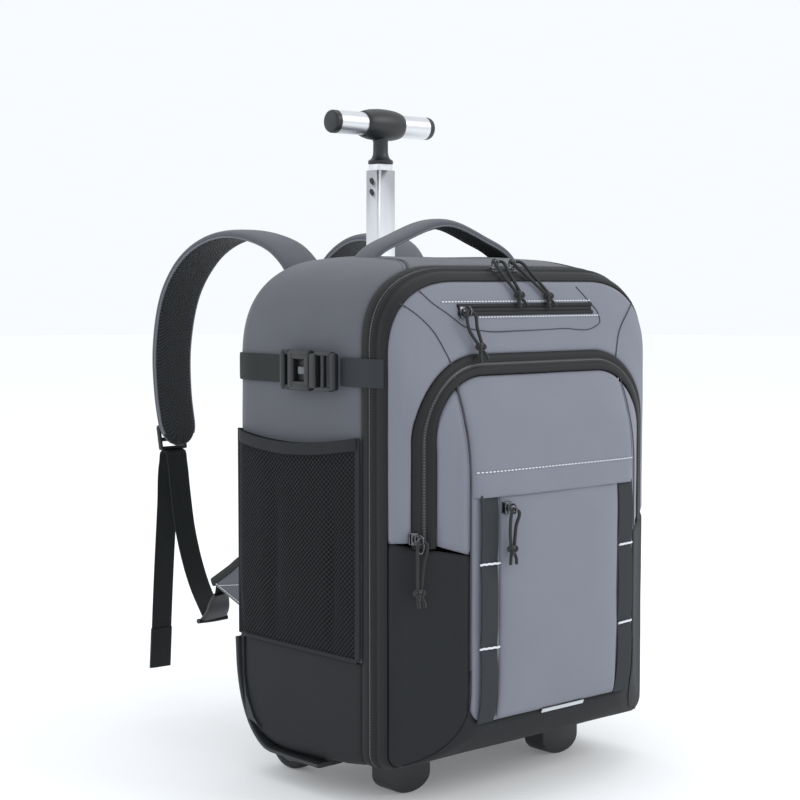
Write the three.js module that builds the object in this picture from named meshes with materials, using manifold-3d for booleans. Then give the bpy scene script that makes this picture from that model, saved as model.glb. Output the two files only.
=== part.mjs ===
// A soft wheeled backpack: a padded two-compartment bag on two wheels and two feet,
// with a telescoping handle, padded shoulder straps and a carrying handle on top.
// Millimetres. +X is the bag's left-to-right as seen from the front, +Y is its back, +Z is up.
import * as THREE from "three";
import { mergeVertices } from "three/addons/utils/BufferGeometryUtils.js";
import Module from "manifold-3d";

const wasm = await Module();
wasm.setup();

// Driving dimensions of the bag's body
const bodyWidth = 338;
const bodyTop = 489;
const bodyFloor = 28;
const backY = 113;
const bodyDepth = 266;
const cornerRadius = 25;
const clothWall = 3;
const gap = 0.3;

// The main opening's zipper band, all round the bag
const bandRear = 0.7068;
const bandFront = 0.8233;
const bandRearY = backY - bodyDepth * bandRear;
const bandFrontY = backY - bodyDepth * bandFront;

// Heights of the colour changes and panels
const sidePanelFloor = 131;
const blackTop = 240;
const blackTopFront = 228;
const pipingX = bodyWidth / 2 - 62;
const frontPanelFloor = 78;
const frontPanelCorner = 22;

// The front compartment's zipper, an upside-down U
const frontZipX = bodyWidth / 2 - 28;
const frontZipTop = bodyTop - 97;
const frontZipWidth = 18;
const frontZipCorner = 66;
const frontZipEnd = blackTop - 5;

// The flap, the pouch under it and the two webbings beside the pouch
const flapFloor = 278;
const flapTop = frontZipTop - 20;
const flapThick = 2.6;
const pouchHalf = pipingX - 29.5;
const pouchBulge = 8;
const webbingWidth = 20;
const webbingX = pipingX - 18;
const webbingThick = 1.8;

// The small pocket's zipper on the sloped top
const topZipLeft = 77 - bodyWidth / 2;
const topZipRight = bodyWidth / 2 - 86;
const topZipZ = bodyTop - 49;
const topZipWidth = 10;
const trimThick = 1.4;

// Carrying handle
const grabHalf = 97;
const grabRise = 38;
const grabWidth = 30;
const grabThick = 8;
const liningThick = 2.8;
const grabY = 10;

// Padded back and shoulder straps
const backPadHalf = bodyWidth / 2 - 41;
const backPadFloor = 150;
const backPadTop = bodyTop - 53;
const backPadThick = 8;
const strapWidth = 50;
const strapThick = 11;
const strapX = 72;
const adjustWidth = 34;
const beltWidth = 25;
const beltThick = 1.6;

// Side straps with side-release buckles
const sideStrapZ = 386;
const buckleHigh = 36;
const buckleThick = 9;
const socketLength = 42;
const plugLength = 34;
const buckleJoinY = -18;

// Side net pockets
const pocketFront = bandRearY + 3;
const pocketRear = backY - 9;
const pocketFloor = 132.5;
const pocketTop = 327;
const pocketSag = 8;
const pocketBulge = 9.5;
const netThick = 1.4;

// Wheels and their guards
const wheelRadius = 30;
const wheelWidth = 20;
const wheelX = bodyWidth / 2 - 43;
const wheelY = backY - 41;
const wheelSides = 16;
const wheelZ = wheelRadius * Math.cos(Math.PI / wheelSides);
const hubRadius = 22;
const axleRadius = 4;
const runningGap = 0.4;
const guardClear = 3.2;
const guardWall = 2.6;
const guardProud = 2.4;
const guardStrip = 14;
const guardTop = 129;
const guardFrontY = -18;

// Feet
const footWidth = 50;
const footDepth = 26;
const footX = 100;
const footY = bandRearY + 25;

// Telescoping handle
const poleY = backY - 21;
const outerTube = [27.4, 24.4];
const tubeWall = 1.2;
const tubeGap = 0.5;
const poleFoot = 90;
const poleRimZ = 575;
const tubeLength = 405;
const plateZ = 581;
const gripZ = 620;
const gripHalf = 65;
const gripRadius = 11.25;
const capLength = 7;
const hubHalf = 24;
const neckRadius = 7.5;

// Zipper sliders and cord pulls
const cordRadius = 1.5;
const knotRadius = 4.4;
const bailRadius = 4.7;
const bailHole = 3.3;
const bailThick = 1.6;
const sliderBody = [9, 9, 11];

const finish = {
  grey: [0x6a6e78, 0.85, 0],
  greyFront: [0x8c91a0, 0.85, 0],
  black: [0x282c2f, 0.8, 0],
  tape: [0x222427, 0.75, 0],
  webbing: [0x2b2e31, 0.7, 0],
  mesh: [0x25282b, 0.9, 0],
  plastic: [0x2d3033, 0.45, 0],
  rubber: [0x1c1d1f, 0.9, 0],
  metal: [0xc9ccd2, 0.3, 1],
  darkMetal: [0x3c4043, 0.35, 1],
  cord: [0x1b1d1f, 0.7, 0],
};

// Turns a three.js geometry into a solid that can be cut
function toSolid(geometry) {
  const bare = geometry.clone();
  bare.deleteAttribute("normal");
  bare.deleteAttribute("uv");
  const merged = mergeVertices(bare, 1e-4);
  return new wasm.Manifold(new wasm.Mesh({
    numProp: 3,
    vertProperties: new Float32Array(merged.attributes.position.array),
    triVerts: new Uint32Array(merged.index.array),
  }));
}

// Turns a solid back into a geometry
function toGeometry(solid) {
  const mesh = solid.getMesh();
  const geometry = new THREE.BufferGeometry();
  geometry.setAttribute("position", new THREE.BufferAttribute(new Float32Array(mesh.vertProperties), 3));
  geometry.setIndex(new THREE.BufferAttribute(new Uint32Array(mesh.triVerts), 1));
  return geometry;
}

// Skins rings of equal length into one closed body, with a flat fan on each end
function loft(rings) {
  const count = rings[0].length;
  const positions = [];
  const faces = [];
  for (const ring of rings) {
    for (const point of ring) {
      positions.push(point.x, point.y, point.z);
    }
  }
  for (let row = 0; row + 1 < rings.length; row += 1) {
    for (let k = 0; k < count; k += 1) {
      const next = (k + 1) % count;
      const a = row * count + k;
      const b = row * count + next;
      faces.push(a, b, b + count, a, b + count, a + count);
    }
  }
  for (const [row, flip] of [[0, true], [rings.length - 1, false]]) {
    const centre = new THREE.Vector3();
    for (const point of rings[row]) {
      centre.addScaledVector(point, 1 / count);
    }
    const hub = positions.length / 3;
    positions.push(centre.x, centre.y, centre.z);
    for (let k = 0; k < count; k += 1) {
      const a = row * count + k;
      const b = row * count + ((k + 1) % count);
      faces.push(...(flip ? [b, a, hub] : [a, b, hub]));
    }
  }
  return orient(positions, faces);
}

// Builds the geometry with its faces pointing out
function orient(positions, faces) {
  let volume = 0;
  const corner = [new THREE.Vector3(), new THREE.Vector3(), new THREE.Vector3()];
  for (let f = 0; f < faces.length; f += 3) {
    for (let k = 0; k < 3; k += 1) {
      corner[k].fromArray(positions, faces[f + k] * 3);
    }
    volume += corner[0].dot(corner[1].clone().cross(corner[2]));
  }
  if (volume < 0) {
    for (let f = 0; f < faces.length; f += 3) {
      [faces[f], faces[f + 1]] = [faces[f + 1], faces[f]];
    }
  }
  const geometry = new THREE.BufferGeometry();
  geometry.setAttribute("position", new THREE.Float32BufferAttribute(positions, 3));
  geometry.setIndex(faces);
  return geometry;
}

// A box between two corners
function box(low, high) {
  const size = high.map((value, axis) => value - low[axis]);
  const geometry = new THREE.BoxGeometry(size[0], size[1], size[2]);
  return geometry.translate(low[0] + size[0] / 2, low[1] + size[1] / 2, low[2] + size[2] / 2);
}

// A shape drawn in X and Z, pushed along Y from yLow to yHigh
function alongY(shape, yLow, yHigh, steps = 6) {
  const geometry = new THREE.ExtrudeGeometry(shape, {
    depth: yHigh - yLow,
    bevelEnabled: false,
    curveSegments: steps,
  });
  return geometry.rotateX(Math.PI / 2).translate(0, yHigh, 0);
}

// A shape drawn in Y and Z, pushed along X from xLow to xHigh
function alongX(shape, xLow, xHigh, steps = 6) {
  const geometry = new THREE.ExtrudeGeometry(shape, {
    depth: xHigh - xLow,
    bevelEnabled: false,
    curveSegments: steps,
  });
  return geometry.rotateX(Math.PI / 2).rotateZ(Math.PI / 2).translate(xLow, 0, 0);
}

// A closed outline through corner points
function outline(points) {
  return new THREE.Shape(points.map(([a, b]) => new THREE.Vector2(a, b)));
}

// A rectangle with round corners, centred sideways on cx
function roundRect(cx, half, low, high, radius) {
  const shape = new THREE.Shape();
  shape.moveTo(cx - half + radius, low);
  shape.lineTo(cx + half - radius, low);
  shape.absarc(cx + half - radius, low + radius, radius, -Math.PI / 2, 0);
  shape.lineTo(cx + half, high - radius);
  shape.absarc(cx + half - radius, high - radius, radius, 0, Math.PI / 2);
  shape.lineTo(cx - half + radius, high);
  shape.absarc(cx - half + radius, high - radius, radius, Math.PI / 2, Math.PI);
  shape.lineTo(cx - half, low + radius);
  shape.absarc(cx - half + radius, low + radius, radius, Math.PI, Math.PI * 1.5);
  return shape;
}

// A band or pad swept along a smooth path: side is its width direction
function ribbon({ path, side, width, thick, steps, round = 0 }) {
  const curve = new THREE.CatmullRomCurve3(path.map((p) => new THREE.Vector3(...p)));
  const across = new THREE.Vector3(...side);
  const rings = [];
  for (let step = 0; step <= steps; step += 1) {
    const share = step / steps;
    const centre = curve.getPointAt(share);
    const along = curve.getTangentAt(share);
    const wide = across.clone().addScaledVector(along, -across.dot(along)).normalize();
    const up = new THREE.Vector3().crossVectors(along, wide);
    const w = (typeof width === "function" ? width(share) : width) / 2;
    const t = thick / 2;
    const cut = round * t;
    const corners = round > 0
      ? [[w - cut, t], [w, t - cut], [w, cut - t], [w - cut, -t], [cut - w, -t], [-w, cut - t], [-w, t - cut],
        [cut - w, t]]
      : [[w, t], [w, -t], [-w, -t], [-w, t]];
    rings.push(corners.map(([a, b]) => centre.clone().addScaledVector(wide, a).addScaledVector(up, b)));
  }
  return loft(rings);
}

// A round cord along a chosen path
function cord(points, radius, steps) {
  const path = new THREE.CatmullRomCurve3(points.map((p) => new THREE.Vector3(...p)));
  const section = new THREE.Shape();
  section.absarc(0, 0, radius, 0, Math.PI * 2);
  return new THREE.ExtrudeGeometry(section, { steps, extrudePath: path, curveSegments: 4 });
}

// The body's cross sections from the back to the front. depth is a share of the body's depth,
// half of its half width, top and floor of its height, cornerWide and cornerHigh of the half width.
const sections = [
  { depth: 0, half: 0.852, top: 0.95, floor: 0.2, cornerWide: 0.56, cornerHigh: 0.48 },
  { depth: 0.012, half: 0.924, top: 0.972, floor: 0.14, cornerWide: 0.58, cornerHigh: 0.5 },
  { depth: 0.04, half: 0.973, top: 0.985, floor: 0.083, cornerWide: 0.6, cornerHigh: 0.51 },
  { depth: 0.094, half: 1, top: 0.996, floor: 0.03, cornerWide: 0.62, cornerHigh: 0.52 },
  { depth: 0.3, half: 1.005, top: 1, floor: 0.003, cornerWide: 0.62, cornerHigh: 0.52 },
  { depth: 0.575, half: 1.003, top: 0.993, floor: 0.012, cornerWide: 0.58, cornerHigh: 0.46 },
  { depth: 0.706, half: 1, top: 0.979, floor: 0.022, cornerWide: 0.52, cornerHigh: 0.42 },
  { depth: 0.823, half: 0.988, top: 0.95, floor: 0.03, cornerWide: 0.48, cornerHigh: 0.4 },
  { depth: 0.85, half: 0.947, top: 0.909, floor: 0.034, cornerWide: 0.45, cornerHigh: 0.39 },
  { depth: 0.872, half: 0.888, top: 0.846, floor: 0.04, cornerWide: 0.42, cornerHigh: 0.39 },
  { depth: 0.9, half: 0.82, top: 0.787, floor: 0.051, cornerWide: 0.39, cornerHigh: 0.4 },
  { depth: 0.951, half: 0.704, top: 0.729, floor: 0.083, cornerWide: 0.34, cornerHigh: 0.34 },
  { depth: 0.981, half: 0.633, top: 0.677, floor: 0.118, cornerWide: 0.3, cornerHigh: 0.3 },
  { depth: 1, half: 0.45, top: 0.55, floor: 0.19, cornerWide: 0.22, cornerHigh: 0.22 },
];
const bodyHeight = bodyTop - bodyFloor;
const cornerPower = 2.35;
const floorCorner = 14;

// One cross section as a ring of points, pushed out by offset
function bodyRing(row, offset) {
  const half = (row.half * bodyWidth) / 2 + offset;
  const top = bodyFloor + row.top * bodyHeight + offset;
  const low = bodyFloor + row.floor * bodyHeight - offset;
  const wide = (row.cornerWide * bodyWidth) / 2;
  const high = (row.cornerHigh * bodyWidth) / 2;
  const lower = floorCorner + Math.max(0, row.depth - 0.85) * 120;
  const shift = row.depth < 0.4 ? offset : -offset;
  const y = backY - row.depth * bodyDepth + shift;
  const right = [];
  const cornerSteps = 5;
  right.push([half - lower, low], [half, low + lower]);
  for (let step = 0; step <= cornerSteps; step += 1) {
    const turn = (step / cornerSteps) * (Math.PI / 2);
    const power = 2 / cornerPower;
    right.push([half - wide + wide * Math.cos(turn) ** power, top - high + high * Math.sin(turn) ** power]);
  }
  const left = right.map(([x, z]) => [-x, z]).reverse();
  return [...right, ...left].map(([x, z]) => new THREE.Vector3(x, y, z));
}

// The bag's whole outer form, pushed out or in by offset
function bodySolid(offset) {
  return toSolid(loft(sections.map((row) => bodyRing(row, offset))));
}

// The cross section at a given depth: its half width, top and corner sizes
function sectionAt(depth) {
  const row = Math.max(1, sections.findIndex((section) => section.depth >= depth));
  const from = sections[row - 1];
  const to = sections[row];
  const share = Math.max(0, (depth - from.depth) / (to.depth - from.depth));
  const between = (name) => from[name] + (to[name] - from[name]) * share;
  return {
    half: (between("half") * bodyWidth) / 2,
    top: bodyFloor + between("top") * bodyHeight,
    wide: (between("cornerWide") * bodyWidth) / 2,
    high: (between("cornerHigh") * bodyWidth) / 2,
  };
}

// Half the body's width at a given place along Y, below its round top corners
function halfAt(y) {
  return sectionAt((backY - y) / bodyDepth).half;
}

// A point that stands a given lift above the bag's top
function onTop(x, y, lift) {
  return [x, y, sectionAt((backY - y) / bodyDepth).top + lift];
}

// A point that stands a given distance out in front of the bag's sloped front
function onFront(x, z, out) {
  let near = 0.6;
  let deep = 1;
  for (let step = 0; step < 24; step += 1) {
    const depth = (near + deep) / 2;
    const row = sectionAt(depth);
    const across = Math.max(0, Math.abs(x) - row.half + row.wide) / row.wide;
    const up = Math.max(0, z - row.top + row.high) / row.high;
    if (across ** cornerPower + up ** cornerPower <= 1) {
      near = depth;
    } else {
      deep = depth;
    }
  }
  return [x, backY - near * bodyDepth - out, z];
}

const body = bodySolid(0);
const around = bodySolid(gap);
const wall = body.subtract(bodySolid(-clothWall));

const group = new THREE.Group();

// Adds one named piece
function add(name, shape, look) {
  const geometry = shape instanceof THREE.BufferGeometry ? shape : toGeometry(shape);
  const [color, roughness, metalness] = finish[look];
  const mesh = new THREE.Mesh(geometry, new THREE.MeshStandardMaterial({ color, roughness, metalness }));
  mesh.name = name;
  group.add(mesh);
  return mesh;
}

// A region of space wide enough to cut the whole bag
const far = 600;
function region(low, high) {
  return toSolid(box(low, high));
}

// Outlines that divide the body into its cloth panels
const bandShape = outline([
  [bandRearY, far], [bandRearY, 92], [bandRearY - 3, 64], [bandRearY - 12, 43], [bandRearY - 26, 31],
  [bandRearY - 36, 0], [-far, 0], [-far, 44], [bandFrontY - 42, 44], [bandFrontY - 22, 48],
  [bandFrontY - 11, 58], [bandFrontY - 3, 74], [bandFrontY, 95], [bandFrontY, far],
]);
const bandRegion = toSolid(alongX(bandShape, -far, far));
const bandAside = toSolid(alongX(outline([
  [bandRearY + gap, far], [bandRearY + gap, 92], [bandRearY - 3 + gap, 64 - gap], [bandRearY - 12 + gap, 43 - gap],
  [bandRearY - 26 + gap, 31 - gap], [bandRearY - 36 + gap, -1], [-far, -1], [-far, 44 + gap],
  [bandFrontY - 42, 44 + gap], [bandFrontY - 22 - gap, 48 + gap], [bandFrontY - 11 - gap, 58 + gap],
  [bandFrontY - 3 - gap, 74 + gap], [bandFrontY - gap, 95], [bandFrontY - gap, far],
]), -far, far));
const rear = wall.subtract(bandAside)
  .intersect(toSolid(alongX(outline([
    [bandRearY + gap, far], [bandRearY + gap, 92], [bandRearY - 3 + gap, 64 - gap], [bandRearY - 12 + gap, 43 - gap],
    [bandRearY - 26 + gap, 31 - gap], [bandRearY - 36 + gap, -1], [far, -1], [far, far],
  ]), -far, far)));
const front = wall.subtract(bandAside).intersect(toSolid(alongX(outline([
  [-far, 44 + gap], [bandFrontY - 42, 44 + gap], [bandFrontY - 22 - gap, 48 + gap],
  [bandFrontY - 11 - gap, 58 + gap], [bandFrontY - 3 - gap, 74 + gap], [bandFrontY - gap, 95],
  [bandFrontY - gap, far], [-far, far],
]), -far, far)));

// The opening in the top where the telescoping handle comes out
const poleHole = toSolid(box(
  [-outerTube[0] / 2 - gap, poleY - outerTube[1] / 2 - gap, bodyTop - 80],
  [outerTube[0] / 2 + gap, poleY + outerTube[1] / 2 + gap, bodyTop + 40],
));

// Wheel guards: a strip along the lower rear edge of each side and a well over the wheel
const guardLine = [
  [backY + 1, guardTop], [backY - 5, 92], [backY - 14, 66], [backY - 30, 42], [backY - 50, 27], [38, 23.5],
  [guardFrontY, 24],
];
const guardInner = [
  [guardFrontY + 3, 36], [38, 38], [62, 42], [79, 55], [90, 74], [backY - guardStrip - 3, 95],
  [backY - guardStrip - 2, guardTop],
];
const stripShape = outline([...guardLine, ...guardInner]);
const wellFront = wheelY - wheelRadius - guardClear - guardWall;
const wellIn = wheelX - wheelWidth / 2 - guardClear - guardWall;
const wellOut = wheelX + wheelWidth / 2 + guardClear;
const wellTop = wheelRadius + wheelRadius + guardClear + guardWall;
const sideOuter = bodySolid(guardProud);
const sideInner = bodySolid(-clothWall - 4);

function guardStripSolid(side) {
  const ends = side > 0 ? [wellOut, far] : [-far, -wellOut];
  return sideOuter.subtract(sideInner).intersect(toSolid(alongX(stripShape, ...ends)));
}

function guard(side) {
  const span = (a, b) => (side > 0 ? [a, b] : [-b, -a]);
  const wellShape = outline([
    [wellFront, 26], [wellFront, wellTop - 20], [wellFront + 20, wellTop], [backY - 24, wellTop],
    [backY - 24, 45], [backY - 45, 26],
  ]);
  const block = toSolid(alongX(wellShape, ...span(wellIn, wellOut + 12)));
  const hollow = new THREE.CylinderGeometry(wheelRadius + guardClear, wheelRadius + guardClear,
    wellOut - wellIn - guardWall, 20);
  hollow.rotateZ(Math.PI / 2);
  hollow.translate(side * (wellIn + guardWall + (wellOut - wellIn - guardWall) / 2), wheelY, wheelZ);
  const under = toSolid(box(
    [span(wellIn + guardWall, wellOut)[0], wheelY - wheelRadius - guardClear, -5],
    [span(wellIn + guardWall, wellOut)[1], wheelY + wheelRadius + guardClear, wheelZ],
  ));
  const axle = new THREE.CylinderGeometry(axleRadius, axleRadius, wellOut - wellIn + 2, 12);
  axle.rotateZ(Math.PI / 2);
  axle.translate(side * (wellIn + 1 + (wellOut - wellIn) / 2), wheelY, wheelZ);
  return guardStripSolid(side).add(block).subtract(toSolid(hollow)).subtract(under)
    .add(toSolid(axle));
}

const guards = { left: guard(-1), right: guard(1) };

// A solid together with copies of itself moved by the gap along each given way, to cut a clearance
function swell(solid, ways) {
  return ways.reduce((sum, way) => sum.add(solid.translate(way.map((step) => step * gap))), solid);
}

// The room that the two guards and their wheel wells need in the bag's base
const rearClear = [-1, 1].map((side) => {
  const wellRoom = outline([
    [wellFront - gap, 0], [wellFront - gap, wellTop - 20 + gap], [wellFront + 20 - gap, wellTop + gap],
    [backY + 20, wellTop + gap], [backY + 20, 0],
  ]);
  const low = side > 0 ? wellIn - gap : -wellOut - 12 - gap;
  const high = side > 0 ? wellOut + 12 + gap : -wellIn + gap;
  return swell(guardStripSolid(side), [[-side, 0, 0], [0, -1, 0], [0, 0, 1]]).add(toSolid(alongX(wellRoom, low, high)));
});

// Rear shell and base
const upperRear = region([-far, -far, sidePanelFloor], [far, far, far]);
const lowerRear = region([-far, -far, -far], [far, far, sidePanelFloor - gap]);
add("rear_shell", rear.intersect(upperRear).subtract(poleHole), "grey");
add("rear_base", rear.intersect(lowerRear).subtract(rearClear[0]).subtract(rearClear[1]), "black");
add("main_zipper", wall.intersect(bandRegion), "tape");

// Front compartment: outer gusset, zipper, front panel and black base
function frontU(offset) {
  return roundRect(0, frontZipX + offset, -far, frontZipTop + offset, frontZipCorner + offset);
}
const depthLow = -far;
const depthHigh = far;
const zipOuter = toSolid(alongY(frontU(frontZipWidth / 2), depthLow, depthHigh, 5));
const zipOuterGap = toSolid(alongY(frontU(frontZipWidth / 2 + gap), depthLow, depthHigh, 5));
const zipInner = toSolid(alongY(frontU(-frontZipWidth / 2), depthLow, depthHigh, 5));
const zipInnerGap = toSolid(alongY(frontU(-frontZipWidth / 2 - gap), depthLow, depthHigh, 5));
const blackLine = (lift) => outline([
  [-far, -far], [far, -far], [far, blackTop + lift], [frontZipX, blackTop + lift],
  [pipingX, blackTopFront + lift], [-pipingX, blackTopFront + lift], [-frontZipX, blackTop + lift],
  [-far, blackTop + lift],
]);
const blackZone = toSolid(alongY(blackLine(0), depthLow, depthHigh));
const blackZoneGap = toSolid(alongY(blackLine(gap), depthLow, depthHigh));
const panelZone = toSolid(alongY(
  roundRect(0, pipingX, frontPanelFloor, far, frontPanelCorner), depthLow, depthHigh, 3));
const panelZoneGap = toSolid(alongY(
  roundRect(0, pipingX + gap, frontPanelFloor - gap, far, frontPanelCorner), depthLow, depthHigh, 3));
const zipSpan = region([-far, -far, frontZipEnd], [far, far, far]);
const zipSpanGap = region([-far, -far, frontZipEnd - gap], [far, far, far]);
const zipBand = zipOuter.subtract(zipInner).intersect(zipSpan);
const zipBandGap = zipOuterGap.subtract(zipInnerGap).intersect(zipSpanGap);
add("front_gusset", front.subtract(blackZoneGap).subtract(zipOuterGap), "greyFront");
add("front_zipper", front.intersect(zipBand), "tape");
add("front_panel", front.intersect(zipInnerGap).subtract(blackZoneGap)
  .add(front.intersect(panelZone).intersect(zipInnerGap)), "greyFront");
add("front_base", front.intersect(blackZone).subtract(panelZoneGap).subtract(zipBandGap), "black");

// A panel laid on the bag, following its form
function overlay(thick, shape, yLow = -far, yHigh = 0) {
  return bodySolid(gap + thick).subtract(around).intersect(toSolid(alongY(shape, yLow, yHigh, 1)));
}

const frontFace = bandFrontY - 30;
add("front_flap", overlay(flapThick, roundRect(0, pipingX - 1, flapFloor, flapTop, 3), -far, frontFace),
  "greyFront");

// The pouch: crowned in the middle, thin at its sewn edges
function pouch() {
  const columns = 6;
  const rows = 5;
  const low = frontPanelFloor + 4;
  const high = flapFloor - gap;
  const crown = (u, v) => (1 - Math.abs(2 * u - 1) ** 4) * (1 - Math.abs(2 * v - 1) ** 5);
  const rings = [];
  for (let row = 0; row <= rows; row += 1) {
    const v = row / rows;
    const z = low + (high - low) * v;
    const outer = [];
    const inner = [];
    for (let column = 0; column <= columns; column += 1) {
      const u = column / columns;
      const x = (2 * u - 1) * pouchHalf;
      outer.push(new THREE.Vector3(x, backY - bodyDepth - 2.2 - pouchBulge * crown(u, v), z));
      inner.push(new THREE.Vector3(x, backY - bodyDepth + 30, z));
    }
    rings.push([...outer, ...inner.reverse()]);
  }
  return toSolid(loft(rings)).subtract(around);
}
add("front_pouch", pouch(), "greyFront");

for (const [name, side] of [["left", -1], ["right", 1]]) {
  const strip = roundRect(side * webbingX, webbingWidth / 2, frontPanelFloor + 1, flapFloor - gap, 1);
  add(`front_webbing_${name}`, overlay(webbingThick, strip, -far, frontFace), "webbing");
}

add("top_pocket_zipper", overlay(trimThick, roundRect((topZipLeft + topZipRight) / 2,
  (topZipRight - topZipLeft) / 2, topZipZ - topZipWidth / 2, topZipZ + topZipWidth / 2, 2)), "tape");

// Carrying handle: padded arch over a soft underside
function arch(lift) {
  const foot = bodyTop - 6 + lift;
  return [
    [-grabHalf - 6, grabY, foot - 8], [-grabHalf + 12, grabY, foot + 9], [-grabHalf * 0.55, grabY, foot + 23],
    [0, grabY, foot + grabRise], [grabHalf * 0.55, grabY, foot + 23], [grabHalf - 12, grabY, foot + 9],
    [grabHalf + 6, grabY, foot - 8],
  ];
}
const archPad = ribbon({
  path: arch(0), side: [0, 1, 0], width: grabWidth, thick: grabThick, steps: 12, round: 0.6,
});
const archLining = ribbon({
  path: arch(-(grabThick + liningThick) / 2 - gap * 2), side: [0, 1, 0], width: grabWidth - 4,
  thick: liningThick, steps: 12,
});
const liningClear = toSolid(ribbon({
  path: arch(0), side: [0, 1, 0], width: grabWidth + 2, thick: grabThick + gap, steps: 12,
}));
add("grab_handle", toSolid(archPad).subtract(around), "grey");
add("grab_handle_lining", toSolid(archLining).subtract(around).subtract(liningClear), "mesh");

// Padded back
const backPad = new THREE.ExtrudeGeometry(roundRect(0, backPadHalf - 3, backPadFloor + 3, backPadTop - 3, 24), {
  depth: backPadThick - 3, bevelEnabled: true, bevelThickness: 3, bevelSize: 3, bevelSegments: 1,
  curveSegments: 3,
});
backPad.rotateX(Math.PI / 2).translate(0, backY + gap + backPadThick - 3, 0);
add("back_panel", toSolid(backPad).subtract(around), "mesh");

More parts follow.
